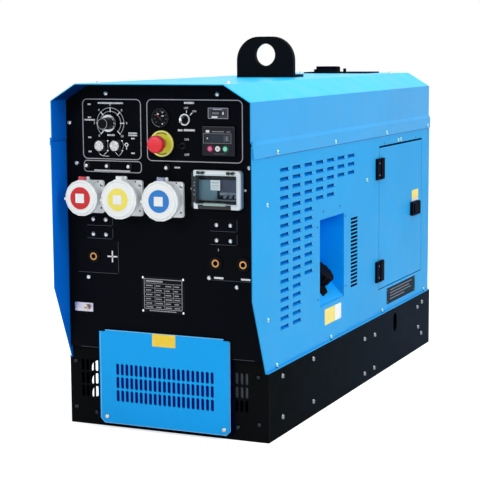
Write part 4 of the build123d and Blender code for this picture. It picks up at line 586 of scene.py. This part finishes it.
def circle(u, v, radius, steps=32):
    return arc(u, v, radius, 0, 360 * (steps - 1) / steps, steps - 1)


def washer(u, v, inner, outer, steps=32):
    """Outlines of a flat ring."""
    return stroke(circle(u, v, (inner + outer) / 2, steps), outer - inner, closed=True)


def bars(left, right, v, height):
    """Outlines of a row of short blank bars where a legend stands, set by a fixed rhythm of widths."""
    rhythm, gap = (3.4, 2.4, 3.0, 2.0, 3.8, 2.6), 1.0
    outlines, u = [], left
    while u < right:
        width = min(rhythm[len(outlines) % len(rhythm)], right - u)
        outlines.append(rectangle(u, v - height / 2, u + width, v + height / 2))
        u += width + gap
    return outlines


def lettering(builder, text, u, v, size, place, out):
    """Adds numerals or a sign, centred on a point of a face."""
    curve = bpy.data.curves.new("numeral", "FONT")
    curve.body = text
    curve.size = size
    curve.align_x = "CENTER"
    curve.align_y = "CENTER"
    curve.resolution_u = 3
    curve.extrude = print_thick / 2
    obj = bpy.data.objects.new("numeral", curve)
    bpy.context.scene.collection.objects.link(obj)
    bpy.context.view_layer.update()
    mesh = bpy.data.meshes.new_from_object(obj)
    base = len(builder.verts)
    builder.from_mesh(mesh)
    builder.verts.ensure_lookup_table()
    for vert in builder.verts[base:]:
        vert.co = place(u + vert.co.x, v + vert.co.y, out + vert.co.z + print_thick / 2)
    bpy.data.objects.remove(obj)
    bpy.data.curves.remove(curve)
    bpy.data.meshes.remove(mesh)


def flat(name, material, slot, outlines, out=0.0, thick=print_thick, place=on_panel, body=MACHINE,
         letters=()):
    """A thin piece made of flat outlines and letters that lie on a face."""
    builder = bmesh.new()
    for outline in outlines:
        slab(builder, outline, place, out, out + thick)
    for text, u, v, size in letters:
        lettering(builder, text, u, v, size, place, out)
    return piece(name, builder, material, body)


def lathe(builder, profile, place, u, v, steps):
    """Adds a turned shape: profile is (radius, distance out) from the base to the front."""
    rings = []
    for radius, out in profile:
        if radius < 1e-6:
            rings.append([builder.verts.new(place(u, v, out))])
            continue
        rings.append([builder.verts.new(place(a, b, out)) for a, b in circle(u, v, radius, steps)])
    for low, high in zip(rings, rings[1:]):
        for i in range(steps):
            j = (i + 1) % steps
            corners = [low[i % len(low)], low[j % len(low)], high[j % len(high)], high[i % len(high)]]
            corners = [c for k, c in enumerate(corners) if c not in corners[:k]]
            if len(corners) > 2:
                builder.faces.new(corners)
    for ring in (rings[0], rings[-1]):
        if len(ring) > 2:
            builder.faces.new(ring)


def studs(name, material, spots, profile, place=on_panel, steps=16):
    """Small turned pieces at several spots of a face."""
    builder = bmesh.new()
    for u, v in spots:
        lathe(builder, profile, place, u, v, steps)
    smooth(piece(name, builder, material, MACHINE))


def thread(name, material, runs, radius):
    """Thin round bars or straps on the control panel, bent along points given as (u, v, out)."""
    sides = 8
    builder = bmesh.new()
    for run in runs:
        points = [on_panel(*point) for point in run]
        rings = []
        for i, point in enumerate(points):
            before, after = points[max(i - 1, 0)], points[min(i + 1, len(points) - 1)]
            along = (after - before).normalized()
            side = along.orthogonal().normalized()
            other = along.cross(side)
            turns = [2 * pi * k / sides for k in range(sides)]
            spokes = [(side * cos(turn) + other * sin(turn)) * radius * MM for turn in turns]
            rings.append([builder.verts.new(point + spoke) for spoke in spokes])
        for first, second in zip(rings, rings[1:]):
            offset = min(range(sides), key=lambda k: (first[0].co - second[k].co).length)
            for k in range(sides):
                a, b = first[k], first[(k + 1) % sides]
                c, d = second[(k + 1 + offset) % sides], second[(k + offset) % sides]
                builder.faces.new((a, b, c, d))
        builder.faces.new(rings[0])
        builder.faces.new(rings[-1])
    smooth(piece(name, builder, material, MACHINE))


# -------- control panel prints
line_width = 2.4
frames = (
    ((-266.0, 833.0), (-68.0, 1012.5), 15.0),
    ((-264.0, 793.5), (-68.0, 827.0), 10.0),
    ((-46.5, 831.5), (263.5, 1013.0), 15.0),
)
frame_lines = []
for low, high, radius in frames:
    frame_lines += stroke(rounded(low, high, radius), line_width, closed=True)
flat("panel_frames", frame_ink, "white_plastic", frame_lines)

dial_inner, dial_outer = 35.5, 46.0
dial_start, dial_step = -45, 45
dial_numbers = ("10", "9", "8", "6", "4", "2", "0")
dial_end = dial_start + dial_step * (len(dial_numbers) - 1)
scale_lines = []
for radius in (dial_inner, dial_outer):
    scale_lines += stroke(arc(knob_x, knob_z, radius, dial_start, dial_end, 54), 1.9)
ticks, numbers = [], []
for i, number in enumerate(dial_numbers):
    turn = radians(dial_start + dial_step * i)
    ticks += stroke([polar(knob_x, knob_z, r, turn) for r in (dial_inner - 2.5, dial_outer + 1.5)], 3.0)
    numbers.append((number, *polar(knob_x, knob_z, dial_outer + 9.0, turn), 10.0))
flat("dial_rings", frame_ink, "white_plastic", scale_lines)
flat("dial_ticks", white_ink, "white_plastic", ticks, thick=2 * print_thick, letters=numbers)

legends = (
    (-213, -127, 1001, 5.0), (-248, -238, 997, 4.6), (-260, -224, 950, 4.6), (-248, -238, 957.5, 4.0),
    (-110, -81, 912, 4.0), (-110, -81, 905.5, 4.6), (-101, -90, 896, 4.4), (-101, -89, 852, 4.4),
    (-248, -238, 897, 4.6), (-248, -238, 854, 4.6), (-182, -157, 905, 5.0), (-229, -106, 797.5, 4.6),
    (77, 109, 1004, 6.0), (56, 71, 923.5, 6.0), (75, 111, 924, 6.0), (43, 61, 813, 4.6),
)
print_lines = [outline for legend in legends for outline in bars(*legend)]
print_marks = (
    ([(84.4, 974.0), (84.4, 982.0)], 2.4), ([(96.0, 968.0), (103.0, 975.5)], 2.4),
    ([(-117.0, 872.5), (-117.0, 863.0)], 2.8), ([(-125.0, 877.0), (-121.5, 877.0)], 2.2),
)
for ends, width in print_marks:
    print_lines += stroke(ends, width)
print_lines += washer(-117.0, 877.0, 3.2, 6.2, 20)
print_words = (
    ("OFF", 83.0, 988.5, 8.0), ("ON", 110.0, 979.5, 8.0),
    ("ON", toggle_x + 12.0, toggle_z + 18.5, 9.0), ("OFF", toggle_x + 12.0, toggle_z - 26.5, 9.0),
)
flat("panel_prints", white_ink, "white_plastic", print_lines, letters=print_words)

# paler grey lines along two stretches of the control panel's lower edge
foot_length = 68.0
foot_lines = [rectangle(u, panel_foot + 0.5, u + foot_length, panel_foot + 1.5) for u in (-288.0, 230.0)]
flat("panel_foot_edge", edge_paint, "black_paint", foot_lines)

# -------- intake cover, lip, hinges, louvres and grille
rim_left, rim_right, rim_foot, rim_head, chamfer = -215.7, 221.7, 16.8, 301.0, 13.6
rim = [(rim_left, rim_head), (rim_left, rim_foot + chamfer), (rim_left + chamfer, rim_foot)]
rim += [(rim_right - chamfer, rim_foot), (rim_right, rim_foot + chamfer), (rim_right, rim_head)]
# painted highlights: pale blue lines along the intake cover's rim and top edge
cover_highlight_lines = stroke(rim, 1.2) + stroke([(-196.0, 308.2), (202.0, 308.2)], 1.4)
cover_highlight_blue, lip_blue = ink("cover_edge_highlight", (150, 212, 250)), ink("lip_shadow_blue", (14, 84, 160))
flat("intake_cover_edge_highlights", cover_highlight_blue, "canopy_blue", cover_highlight_lines, thick=0.15, place=on_cover)
lip_line = rectangle(-772.0, lip_foot - 2.4, 838.0, lip_foot - 0.2)
flat("lip_shadow", lip_blue, "canopy_blue", [lip_line], thick=0.2, place=on_side)

# painted shade: a navy grid behind the intake cover's slots stands in for the shaded inside
wire_count, wire_first, wire_pitch, wire_wide = 112, -166.0, 3.0, 1.5
wire_places = [wire_first + wire_pitch * i for i in range(wire_count)]
wires = [rectangle(u, 26.0, u + wire_wide, 299.0) for u in wire_places]
flat("intake_shade_screen", ink("screen_shade_blue", (0, 26, 176)), "canopy_blue", wires, -7.0, 0.8, on_cover)

hinge_u, hinge_out = 241.0, 8.0
hinge_screws = [circle(hinge_u, v, 3.0, 12) for v in (348.0, 390.0, 714.0, 756.0)]
flat("hinge_screws", grey_ink, "steel", hinge_screws, hinge_out, 0.5, on_side)

louvre_rows = (18, 18, 13, 5, 5, 3, 3)
louvre_first, louvre_top, column_pitch, row_pitch = -620.6, 808.0, 98.0, 28.0
louvre_end_highlights = []
for column, rows in enumerate(louvre_rows):
    for row in range(rows):
        u, v = louvre_first + column_pitch * column, louvre_top - row_pitch * row
        louvre_end_highlights.append(rectangle(u + 31.0, v - 9.5, u + 38.0, v - 1.0))
# painted highlights: light cyan ticks at the rear end of each louvre slot, on both sides
for name, place in (("right", on_side), ("left", on_left)):
    louvre_highlight = ink("louvre_highlight_" + name, (96, 196, 236))
    flat("louvre_end_highlights_" + name, louvre_highlight, "canopy_blue", louvre_end_highlights, -2.2, 1.6, place)
grille_grey = ink("grille_grey", (56, 62, 68))
flat("grille_backing", grille_grey, "black_paint", [rectangle(225.0, 126.0, 274.0, 207.0)], -20.0, 0.4)

# -------- knob and emergency stop
knob_face, knob_front = 14.0, 50.0
skirt_ring, grip_ring = washer(knob_x, knob_z, 18.8, 25.6, 48), washer(knob_x, knob_z, 15.2, 16.4, 40)
# painted highlights: four white dots on the right of the knob's skirt stand in for glints on its flutes
knob_glints = [circle(*polar(knob_x, knob_z, 20.2, radians(turn)), 1.5, 12) for turn in (-28, 4, 34, 64)]
flat("knob_skirt_ring", zinc, "steel", skirt_ring, knob_face, 1.0, body="current_knob")
flat("knob_grip_ring", frame_ink, "steel", grip_ring, knob_front, 0.3, body="current_knob")
flat("knob_glints", white_ink, "white_plastic", knob_glints, knob_face + 1.0, 0.3, body="current_knob")
dashes = []
for start, end in ((58, 122), (238, 300)):
    dashes += stroke(arc(estop_x, estop_disc_z, 31.5, start, end, 14), 2.6)
flat("estop_disc_marks", dark_ink, "black_plastic", dashes, 3.0)

# -------- connectors, their caps and straps
cap_out = panel_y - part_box("connector_cap_1")[0].y / MM
for number, cap in (("1", cap_1), ("2", cap_2)):
    lug = rounded((cap.x - 4.0, cap.z + 11.5), (cap.x + 3.0, cap.z + 15.5), 1.5, 2)
    flat("cap_lugs_" + number, nickel, "nickel", [lug], cap_out, 1.2, body="connector_cap_" + number)


def by_cap(cap, out, *offsets):
    """Points at the given distances from the middle of a cap, and at one distance from the panel."""
    return [(cap.x + du, cap.z + dv, out) for du, dv in offsets]


pegs = by_cap(cap_1, 0.0, (24.0, 15.0), (24.0, -14.0)) + by_cap(cap_2, 0.0, (20.5, 15.0), (21.0, -14.5))
peg_profile = [(3.0, 0.0), (3.0, 1.5), (2.0, 2.8), (0.0, 3.2)]
studs("connector_screws", nickel, [(u, v) for u, v, _ in pegs], peg_profile)
strap_out, clip_out = 1.6, 1.2
thread("cap_straps", nickel, [
    by_cap(cap_1, strap_out, (-9.0, -16.5), (-4.0, -26.0), (5.0, -30.0), (16.0, -31.0), (29.0, -31.0)),
    by_cap(cap_1, strap_out, (27.0, -12.0), (21.0, -19.0), (10.0, -27.0)),
    by_cap(cap_2, strap_out, (-3.0, -19.0), (3.0, -26.0), (9.0, -30.5), (17.0, -23.0), (23.0, -13.5)),
], 1.0)
thread("connector_clips", steel, [
    by_cap(cap_1, clip_out, (24.0, 12.0), (24.0, -11.0)),
    by_cap(cap_2, clip_out, (21.5, 12.0), (26.0, 0.0), (21.5, -11.0)),
], 0.8)

# -------- gauge and hour meter
gauge = Vector((0.0, 960.0))
gauge_out = 4.0
gauge_ticks = []
for i in range(9):
    turn = radians(225 - 33.75 * i)
    gauge_ticks += stroke([polar(*gauge, r, turn) for r in (17.5, 21.5)], 1.2)
gauge_marks = [rectangle(-11.0, 968.5, -5.0, 972.0), rectangle(4.0, 963.5, 11.0, 966.5)]
gauge_marks += [rectangle(5.5, 973.0, 7.5, 978.0), circle(6.5, 941.5, 2.4, 12)]
flat("gauge_face", plate_black, "black_plastic", [circle(*gauge, 24.0, 48)], gauge_out, 0.3)
flat("gauge_scale", grey_ink, "white_plastic", gauge_ticks, gauge_out + 0.3)
flat("gauge_legend", white_ink, "white_plastic", gauge_marks, gauge_out + 0.3)
needle = stroke([(3.0, 952.0), (-15.0, 970.0)], 1.5)
flat("gauge_needle", red_ink, "red_plastic", needle, gauge_out + 0.6, 0.3)
flat("gauge_hub", dark_ink, "black_plastic", [circle(gauge.x, gauge.y - 3.0, 3.6, 20)], gauge_out + 0.9, 0.5)
# painted reflection: a grey arc on the lower left of the gauge's rim
flat("gauge_rim_reflection", grey_ink, "steel", stroke(arc(*gauge, 27.4, 188, 268, 20), 1.3), 7.0, 0.2)

meter_out = 6.0
meter_drop = [circle(204.5, 974.0, 3.0, 16), [(202.0, 976.0), (207.0, 976.0), (204.5, 981.0)]]
meter_rim = stroke(rectangle(157.6, 960.1, 220.4, 989.9), 1.4, closed=True)
meter_rim.append(rectangle(173.0, 985.0, 202.0, 987.6))
flat("meter_window", dark_ink, "black_plastic", [rectangle(167.5, 969, 210.5, 983)], meter_out - 1.4, 0.2)
flat("meter_digits", grey_ink, "white_plastic", bars(170.0, 191.0, 975.0, 6.0), meter_out - 1.2)
flat("meter_drop", white_ink, "white_plastic", meter_drop, meter_out - 1.2)
flat("meter_marks", white_ink, "white_plastic", [rectangle(168.5, 961.5, 187.0, 966.5)], meter_out)
flat("meter_edges", frame_ink, "grey_plastic", meter_rim, meter_out, 0.2)

# -------- engine controller
screen_out, controller_top = 9.0, 937.0
# painted highlight: a faint line along the controller's top edge and round its top right corner
edge_highlight_line = [(140.0, controller_top - 1.2), (236.0, controller_top - 1.2)]
edge_highlight_line = stroke(edge_highlight_line + arc(237.0, controller_top - 6.0, 4.8, 80, 0, 5), 1.6)
controller_bars = [rectangle(170.0, 920.5, 209.0, 923.5), rectangle(217.0, 920.5, 229.0, 923.0)]
screen_rim = stroke(rectangle(142.8, 888.3, 231.2, 915.8), 1.5, closed=True)
flat("controller_edge_highlight", faint_ink, "black_plastic", edge_highlight_line, screen_out, 0.2)
flat("controller_header", white_ink, "white_plastic", [rectangle(151.0, 919.0, 162.0, 926.0)], screen_out)
flat("controller_bars", grey_ink, "white_plastic", controller_bars, screen_out)
flat("controller_frame", grey_ink, "grey_plastic", screen_rim, screen_out, 0.2)
screen_layers = (
    ("screen_face", teal_ink, "black_plastic", rectangle(146.0, 891.5, 228.0, 912.5), 1.4),
    ("screen_spot", dark_ink, "black_plastic", circle(156.5, 902.0, 8.2, 32), 1.2),
    ("screen_light", white_ink, "white_plastic", circle(155.0, 902.0, 2.2, 14), 1.0),
    ("screen_pane", faint_ink, "black_plastic", rectangle(207.0, 893.0, 225.5, 911.0), 1.2),
    ("screen_digit", grey_ink, "white_plastic", rectangle(215.0, 896.0, 219.5, 908.0), 1.0),
)
for name, colour, slot, outline, depth in screen_layers:
    flat(name, colour, slot, [outline], screen_out - depth, 0.2)
button_front = 12.0
symbol = [circle(*buttons["white"], 2.6, 14)]
flat("button_ring_red", red_ink, "red_plastic", washer(*buttons["red"], 8.8, 10.2), screen_out, 0.2)
flat("button_ring_green", green_ink, "green_plastic", washer(*buttons["green"], 8.8, 10.6), screen_out, 0.2)
flat("button_symbol", grey_ink, "grey_plastic", symbol, button_front, 0.2, body="button_white")
flat("controller_legend", faint_ink, "grey_plastic", bars(176.0, 214.0, 857.5, 3.0), screen_out)

# -------- sockets
socket_marks = []
for name, radius, *_ in lids:
    u, v = lid_centre(name, radius)
    wide = 44.0 if radius < 58.0 else 48.0
    socket_marks.append(circle(u + wide - 8.0, v + wide - 9.0, 2.6, 12))
    socket_marks.append(rectangle(u + wide - 5.0, v + wide - 13.0, u + wide - 1.0, v + wide - 9.5))
    socket_marks.append(circle(u + wide - 7.0, v - wide + 10.0, 2.8, 12))
    socket_marks.append(circle(u + 27.0, v + wide + 1.5, 2.4, 12))
flat("socket_screws", dark_ink, "black_plastic", socket_marks, 8.0, 0.3)

# -------- inside and frame of the breaker box
inside_left, inside_right = 119.6, 250.4
plate_grey, rail_grey = ink("breaker_plate", (104, 134, 146)), ink("rail_grey", (116, 130, 140))
cover_plate = rectangle(inside_left, 722.0, 179.0, 779.0)
rail = rectangle(inside_left, 718.5, inside_right, 722.5)
label_lines = []
for v, height in ((771.0, 2.0), (763.0, 1.4), (756.0, 1.2)):
    label_lines += bars(162.0, 184.0, v, height)
flat("breaker_cover_plate", plate_grey, "grey_plastic", [cover_plate], -6.0, 0.6)
flat("breaker_label", white_vinyl, "white_plastic", [rectangle(158.0, 749.0, 189.0, 779.0)], -5.4, 0.4)
flat("breaker_label_lines", grey_ink, "grey_plastic", label_lines, -5.0, 0.2)
flat("breaker_rail", rail_grey, "grey_plastic", [rail], -5.0, 0.5)
# painted shade: dark strips inside the breaker box, under the frame's top and along its foot
for name, low_v, high_v in (("top", 780.5, 793.5), ("foot", 710.5, 718.0)):
    strip = rectangle(inside_left, low_v, inside_right, high_v)
    flat("breaker_shade_" + name, dark_ink, "black_plastic", [strip], -8.0, 0.5)

window_front = panel_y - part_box("breaker_window")[0].y / MM
grip_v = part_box("breaker_window")[0].z / MM + 5.0
grip = rounded((149.0, grip_v - 3.8), (221.0, grip_v + 3.8), 1.6, 2)
grip_grey = ink("grip_grey", (152, 178, 174))
flat("window_grip_face", grip_grey, "grey_plastic", [grip], window_front, 0.3, body="breaker_window")
blocks = [rectangle(u - 3.9, 799.6, u + 3.9, 804.4) for u in (137.0, 233.0)]
flat("breaker_hinge_blocks", dark_ink, "black_plastic", blocks, hinge_front, 0.3, body="breaker_window")
frame_screws = [circle(u, frame_high - 6.5, 2.2, 12) for u in (149.0, 246.0)]
flat("breaker_frame_screws", faint_ink, "steel", frame_screws, frame_front, 0.3)
glints = []
for v in (774.0, 765.0, 751.0, 739.0):
    glints += stroke([(frame_left + 9.5, v), (frame_left + 13.0, v - 2.5)], 1.6)
flat("breaker_frame_glints", white_ink, "grey_plastic", glints, frame_front, 0.2)
box_pegs = [(frame_left - 4.5, 752.0), (frame_right + 7.0, 752.0)]
box_peg_profile = [(3.6, 0.0), (3.6, 2.0), (2.6, 3.4), (0.0, 4.0)]
studs("breaker_box_pegs", white_plastic, box_pegs, box_peg_profile)

# -------- output plates, signs and rating plate
plate_thick = 0.8
output_plates = (
    ((-262, 588), (-168, 626)), ((-262, 628), (-168, 668)), ((154, 588), (246, 626)),
    ((154, 628), (246, 668)), ((-296, 482), (-150, 586)), ((147, 482), (305, 586)),
)
plate_paint = powder_coat("output_plate_black", (12, 14, 19), 0.6, 0.016).powder()
plates = bmesh.new()
plate_edge_highlights = []
for low, high in output_plates:
    slab(plates, rounded(low, high, 3.0, 2), on_panel, 0.0, plate_thick)
    # painted highlights: paler lines along each plate's bottom and right edges
    plate_edge_highlights.append(rectangle(low[0] + 4.0, low[1] + 0.6, high[0] - 4.0, low[1] + 1.8))
    plate_edge_highlights.append(rectangle(high[0] - 1.8, low[1] + 4.0, high[0] - 0.6, high[1] - 4.0))
soften(piece("output_plates", plates, plate_paint, MACHINE), 0.3)
flat("output_plate_edge_highlights", faint_ink, "black_paint", plate_edge_highlights, plate_thick, 0.15)

sign_lines = []
for plus_bar in (((-189.0, 535.5), (-155.0, 535.5)), ((-172.0, 518.0), (-172.0, 553.0))):
    sign_lines += stroke(plus_bar, 4.2)
for u in (184.5, 271.5):
    sign_lines += stroke([(u - 15.0, 490.0), (u + 15.0, 490.0)], 5.4)
output_number = ("1", 184.0, 573.0, 11.0)
flat("output_signs", white_ink, "white_plastic", sign_lines, plate_thick, letters=[output_number])

contact_bore, contact_out = 6.5, 8.0
contact_rings = []
for place in contact_places:
    contact_rings += washer(*place, contact_bore, contact_bore + 1.3, 24)
flat("contact_rings", ink("contact_brown", (84, 54, 30)), "brass", contact_rings, contact_out, 0.2)

plate_low, plate_high = (-73.0, 371.5), (71.5, 482.0)
rating = bmesh.new()
slab(rating, rounded(plate_low, plate_high, 3.0, 3), on_panel, 0.0, plate_thick)
soften(piece("rating_plate", rating, plate_black, MACHINE), 0.3)
inner_low, inner_high = (-64.0, 383.0), (63.0, 474.0)
plate_lines = stroke(rounded(inner_low, inner_high, 2.0, 2), 1.4, closed=True)
for v in (461.0, 447.0, 433.5, 420.0, 407.0, 394.5):
    plate_lines.append(rectangle(inner_low[0], v - 0.4, inner_high[0], v + 0.4))
for u, low_v, high_v in ((-28.0, 394.5, 461.0), (4.0, 383.0, 447.0), (34.0, 407.0, 461.0)):
    plate_lines.append(rectangle(u - 0.4, low_v, u + 0.4, high_v))
flat("rating_plate_table", frame_ink, "white_plastic", plate_lines, plate_thick, 0.15)
plate_fields = bars(-58.0, -2.0, 467.5, 5.0) + bars(-46.0, 44.0, 377.5, 2.6)
for i, v in enumerate((454.0, 440.0, 426.5, 413.5, 400.5, 388.5)):
    for left, right in ((-58.0, -34.0), (-24.0, -2.0), (8.0, 30.0), (38.0, 57.0)):
        plate_fields += bars(left, right - (i * 5 + int(right)) % 9, v, 3.2)
flat("rating_plate_fields", frame_ink, "white_plastic", plate_fields, plate_thick, 0.12)
rivet_in = 4.5
rivets = [(u, v) for u in (plate_low[0] + rivet_in, plate_high[0] - rivet_in)
          for v in (plate_low[1] + rivet_in, plate_high[1] - rivet_in)]
rivet_profile = [(3.8, plate_thick), (3.6, 1.6), (2.2, 2.5), (0.0, 2.8)]
studs("rating_plate_rivets", zinc, rivets, rivet_profile)

# -------- labels and marks on the right side
label_thick = 0.3
labels = (
    ("intake_label", yellow_vinyl, "yellow_plastic", (-36.0, 269.0), (42.0, 307.5), on_cover),
    ("pocket_label_yellow", pale_vinyl, "yellow_plastic", (-283.0, 269.0), (-189.0, 321.0), on_side),
    ("pocket_label_white", white_vinyl, "white_plastic", (-188.0, 269.0), (-131.0, 321.0), on_side),
    ("latch_label", pale_vinyl, "yellow_plastic", (643.0, 590.0), (723.0, 623.0), on_side, "door"),
    ("latch_label_foot", white_vinyl, "white_plastic", (643.0, 581.0), (723.0, 589.5), on_side, "door"),
)
for name, vinyl, slot, low, high, *where in labels:
    flat(name, vinyl, slot, [rounded(low, high, 1.5, 2)], 0.0, label_thick, *where)
sign_plate = Finish("side_sign_plate", linear(20, 44, 62), 0.5, specular=0.01)
sign_plate = sign_plate.mottle(0.06, 30.0).sheen_spots(0.06, 60.0).material
side_sign = rounded((349.0, 233.0), (690.0, 292.0), 3.0, 2)
flat("side_sign", sign_plate, "black_paint", [side_sign], 0.0, label_thick, on_side)
sign_rows = ((388.0, 650.0, 281.0), (388.0, 618.0, 270.0), (388.0, 640.0, 259.0), (388.0, 560.0, 248.0))
sign_marks = [outline for left, right, v in sign_rows for outline in bars(left, right, v, 3.4)]
sign_marks += [circle(u, v, 3.0, 12) for u in (358.0, 681.0) for v in (241.0, 284.0)]
flat("side_sign_bars", grey_ink, "white_plastic", sign_marks, label_thick, 0.2, on_side)
side_marks = [circle(u, 822.0, 3.4, 12) for u in (315.0, 682.0)]
flat("side_marks", ink("mark_blue", (12, 60, 120)), "black_paint", side_marks, 0.0, 0.3, on_side)
pocket_rivets = ((-297, 642), (-145, 644), (-350, 597), (-90, 605), (-82, 369), (-342, 363))
pocket_profile = [(4.0, 0.0), (3.6, 0.8), (2.0, 1.4), (0.0, 1.6)]
rivet_blue = ink("rivet_blue", (20, 92, 170))
studs("pocket_rivets", rivet_blue, pocket_rivets, pocket_profile, on_side, steps=12)

# -------- rubber mat on the filler pocket's sloping floor
floor_sum = 667.0
mat_lift, mat_thick = 0.3, 7.7


def on_slope(y, x, out):
    """Point above the pocket's sloping floor, on which x and z add up to the same sum."""
    return Vector((x + out / sqrt(2), y, floor_sum - x + out / sqrt(2))) * MM


mat = bmesh.new()
mat_outline = [(-250.0, 310.0), (-250.0, 279.0), (-174.0, 277.0), (-206.0, 306.0)]
slab(mat, mat_outline, on_slope, mat_lift, mat_lift + mat_thick)
soften(piece("drip_mat", mat, rubber, MACHINE), 2.0)

# -------- camera, light and floor
camera_turn, camera_tilt, camera_roll = radians(24.111), radians(7.575), radians(-0.385)
camera_place = Vector((1.9778, -4.6325, 1.1679))
camera_lens = 109.33

back = Vector((sin(camera_turn) * cos(camera_tilt), -cos(camera_turn) * cos(camera_tilt), sin(camera_tilt)))
level_right = (-back).cross(Vector((0, 0, 1))).normalized()
level_up = level_right.cross(-back)
right = level_right * cos(camera_roll) + level_up * sin(camera_roll)
up = level_up * cos(camera_roll) - level_right * sin(camera_roll)
camera = bpy.data.objects.new("camera", bpy.data.cameras.new("camera"))
camera.data.lens = camera_lens
camera.data.sensor_width = 36.0
camera.matrix_world = Matrix.Translation(camera_place) @ Matrix((right, up, back)).transposed().to_4x4()
bpy.context.scene.collection.objects.link(camera)
bpy.context.scene.camera = camera


def area_light(name, place, target, size, power):
    """A square soft box aimed at a point."""
    lamp = bpy.data.lights.new(name, "AREA")
    lamp.size = size
    lamp.energy = power
    obj = bpy.data.objects.new(name, lamp)
    bpy.context.scene.collection.objects.link(obj)
    obj.location = place
    obj.rotation_euler = (Vector(target) - Vector(place)).to_track_quat("-Z", "Y").to_euler()


area_light("key_light", (4.5, -1.5, 3.6), (0.3, 0.0, 0.5), 3.0, 128.0)
area_light("top_light", (0.5, 0.5, 5.0), (0.0, 0.0, 0.5), 3.0, 150.0)
area_light("front_light", (-1.5, -5.0, 3.0), (0.0, -0.8, 0.6), 2.0, 70.0)


def seen_directly(nodes, links):
    """1 for camera, glossy and transmission rays."""
    ray = nodes.new("ShaderNodeLightPath")
    total = ray.outputs["Is Camera Ray"]
    for kind in ("Is Glossy Ray", "Is Transmission Ray"):
        most = nodes.new("ShaderNodeMath")
        most.operation = "MAXIMUM"
        links.new(total, most.inputs[0])
        links.new(ray.outputs[kind], most.inputs[1])
        total = most.outputs["Value"]
    return total


room_light, floor_glow = 0.47, 0.6
world = bpy.data.worlds.new("studio")
bpy.context.scene.world = world
world.use_nodes = True
world_nodes, world_links = world.node_tree.nodes, world.node_tree.links
ambient = world_nodes["Background"]
ambient.inputs["Color"].default_value = (1.0, 1.0, 1.0, 1.0)
ambient.inputs["Strength"].default_value = room_light
shown = world_nodes.new("ShaderNodeBackground")
shown.inputs["Color"].default_value = (1.0, 1.0, 1.0, 1.0)
shown.inputs["Strength"].default_value = 1.0
choose = world_nodes.new("ShaderNodeMixShader")
world_links.new(seen_directly(world_nodes, world_links), choose.inputs["Fac"])
world_links.new(ambient.outputs["Background"], choose.inputs[1])
world_links.new(shown.outputs["Background"], choose.inputs[2])
world_links.new(choose.outputs["Shader"], world_nodes["World Output"].inputs["Surface"])

floor_mesh = bmesh.new()
bmesh.ops.create_grid(floor_mesh, x_segments=1, y_segments=1, size=60.0)
floor_data = bpy.data.meshes.new("floor")
floor_mesh.to_mesh(floor_data)
floor_mesh.free()
floor = bpy.data.objects.new("floor", floor_data)
bpy.context.scene.collection.objects.link(floor)
floor_finish = Finish("studio_floor", (0.82, 0.82, 0.82, 1.0), 0.9, specular=0.02)
floor_finish.shader.inputs["Emission Color"].default_value = (1.0, 1.0, 1.0, 1.0)
shown_floor = seen_directly(floor_finish.nodes, floor_finish.links)
glow = floor_finish.ramp(shown_floor, 0.0, floor_glow, 0.0, 1.0)
floor_finish.links.new(glow, floor_finish.shader.inputs["Emission Strength"])
floor_data.materials.append(floor_finish.material)

bpy.context.scene.view_settings.view_transform = "Standard"
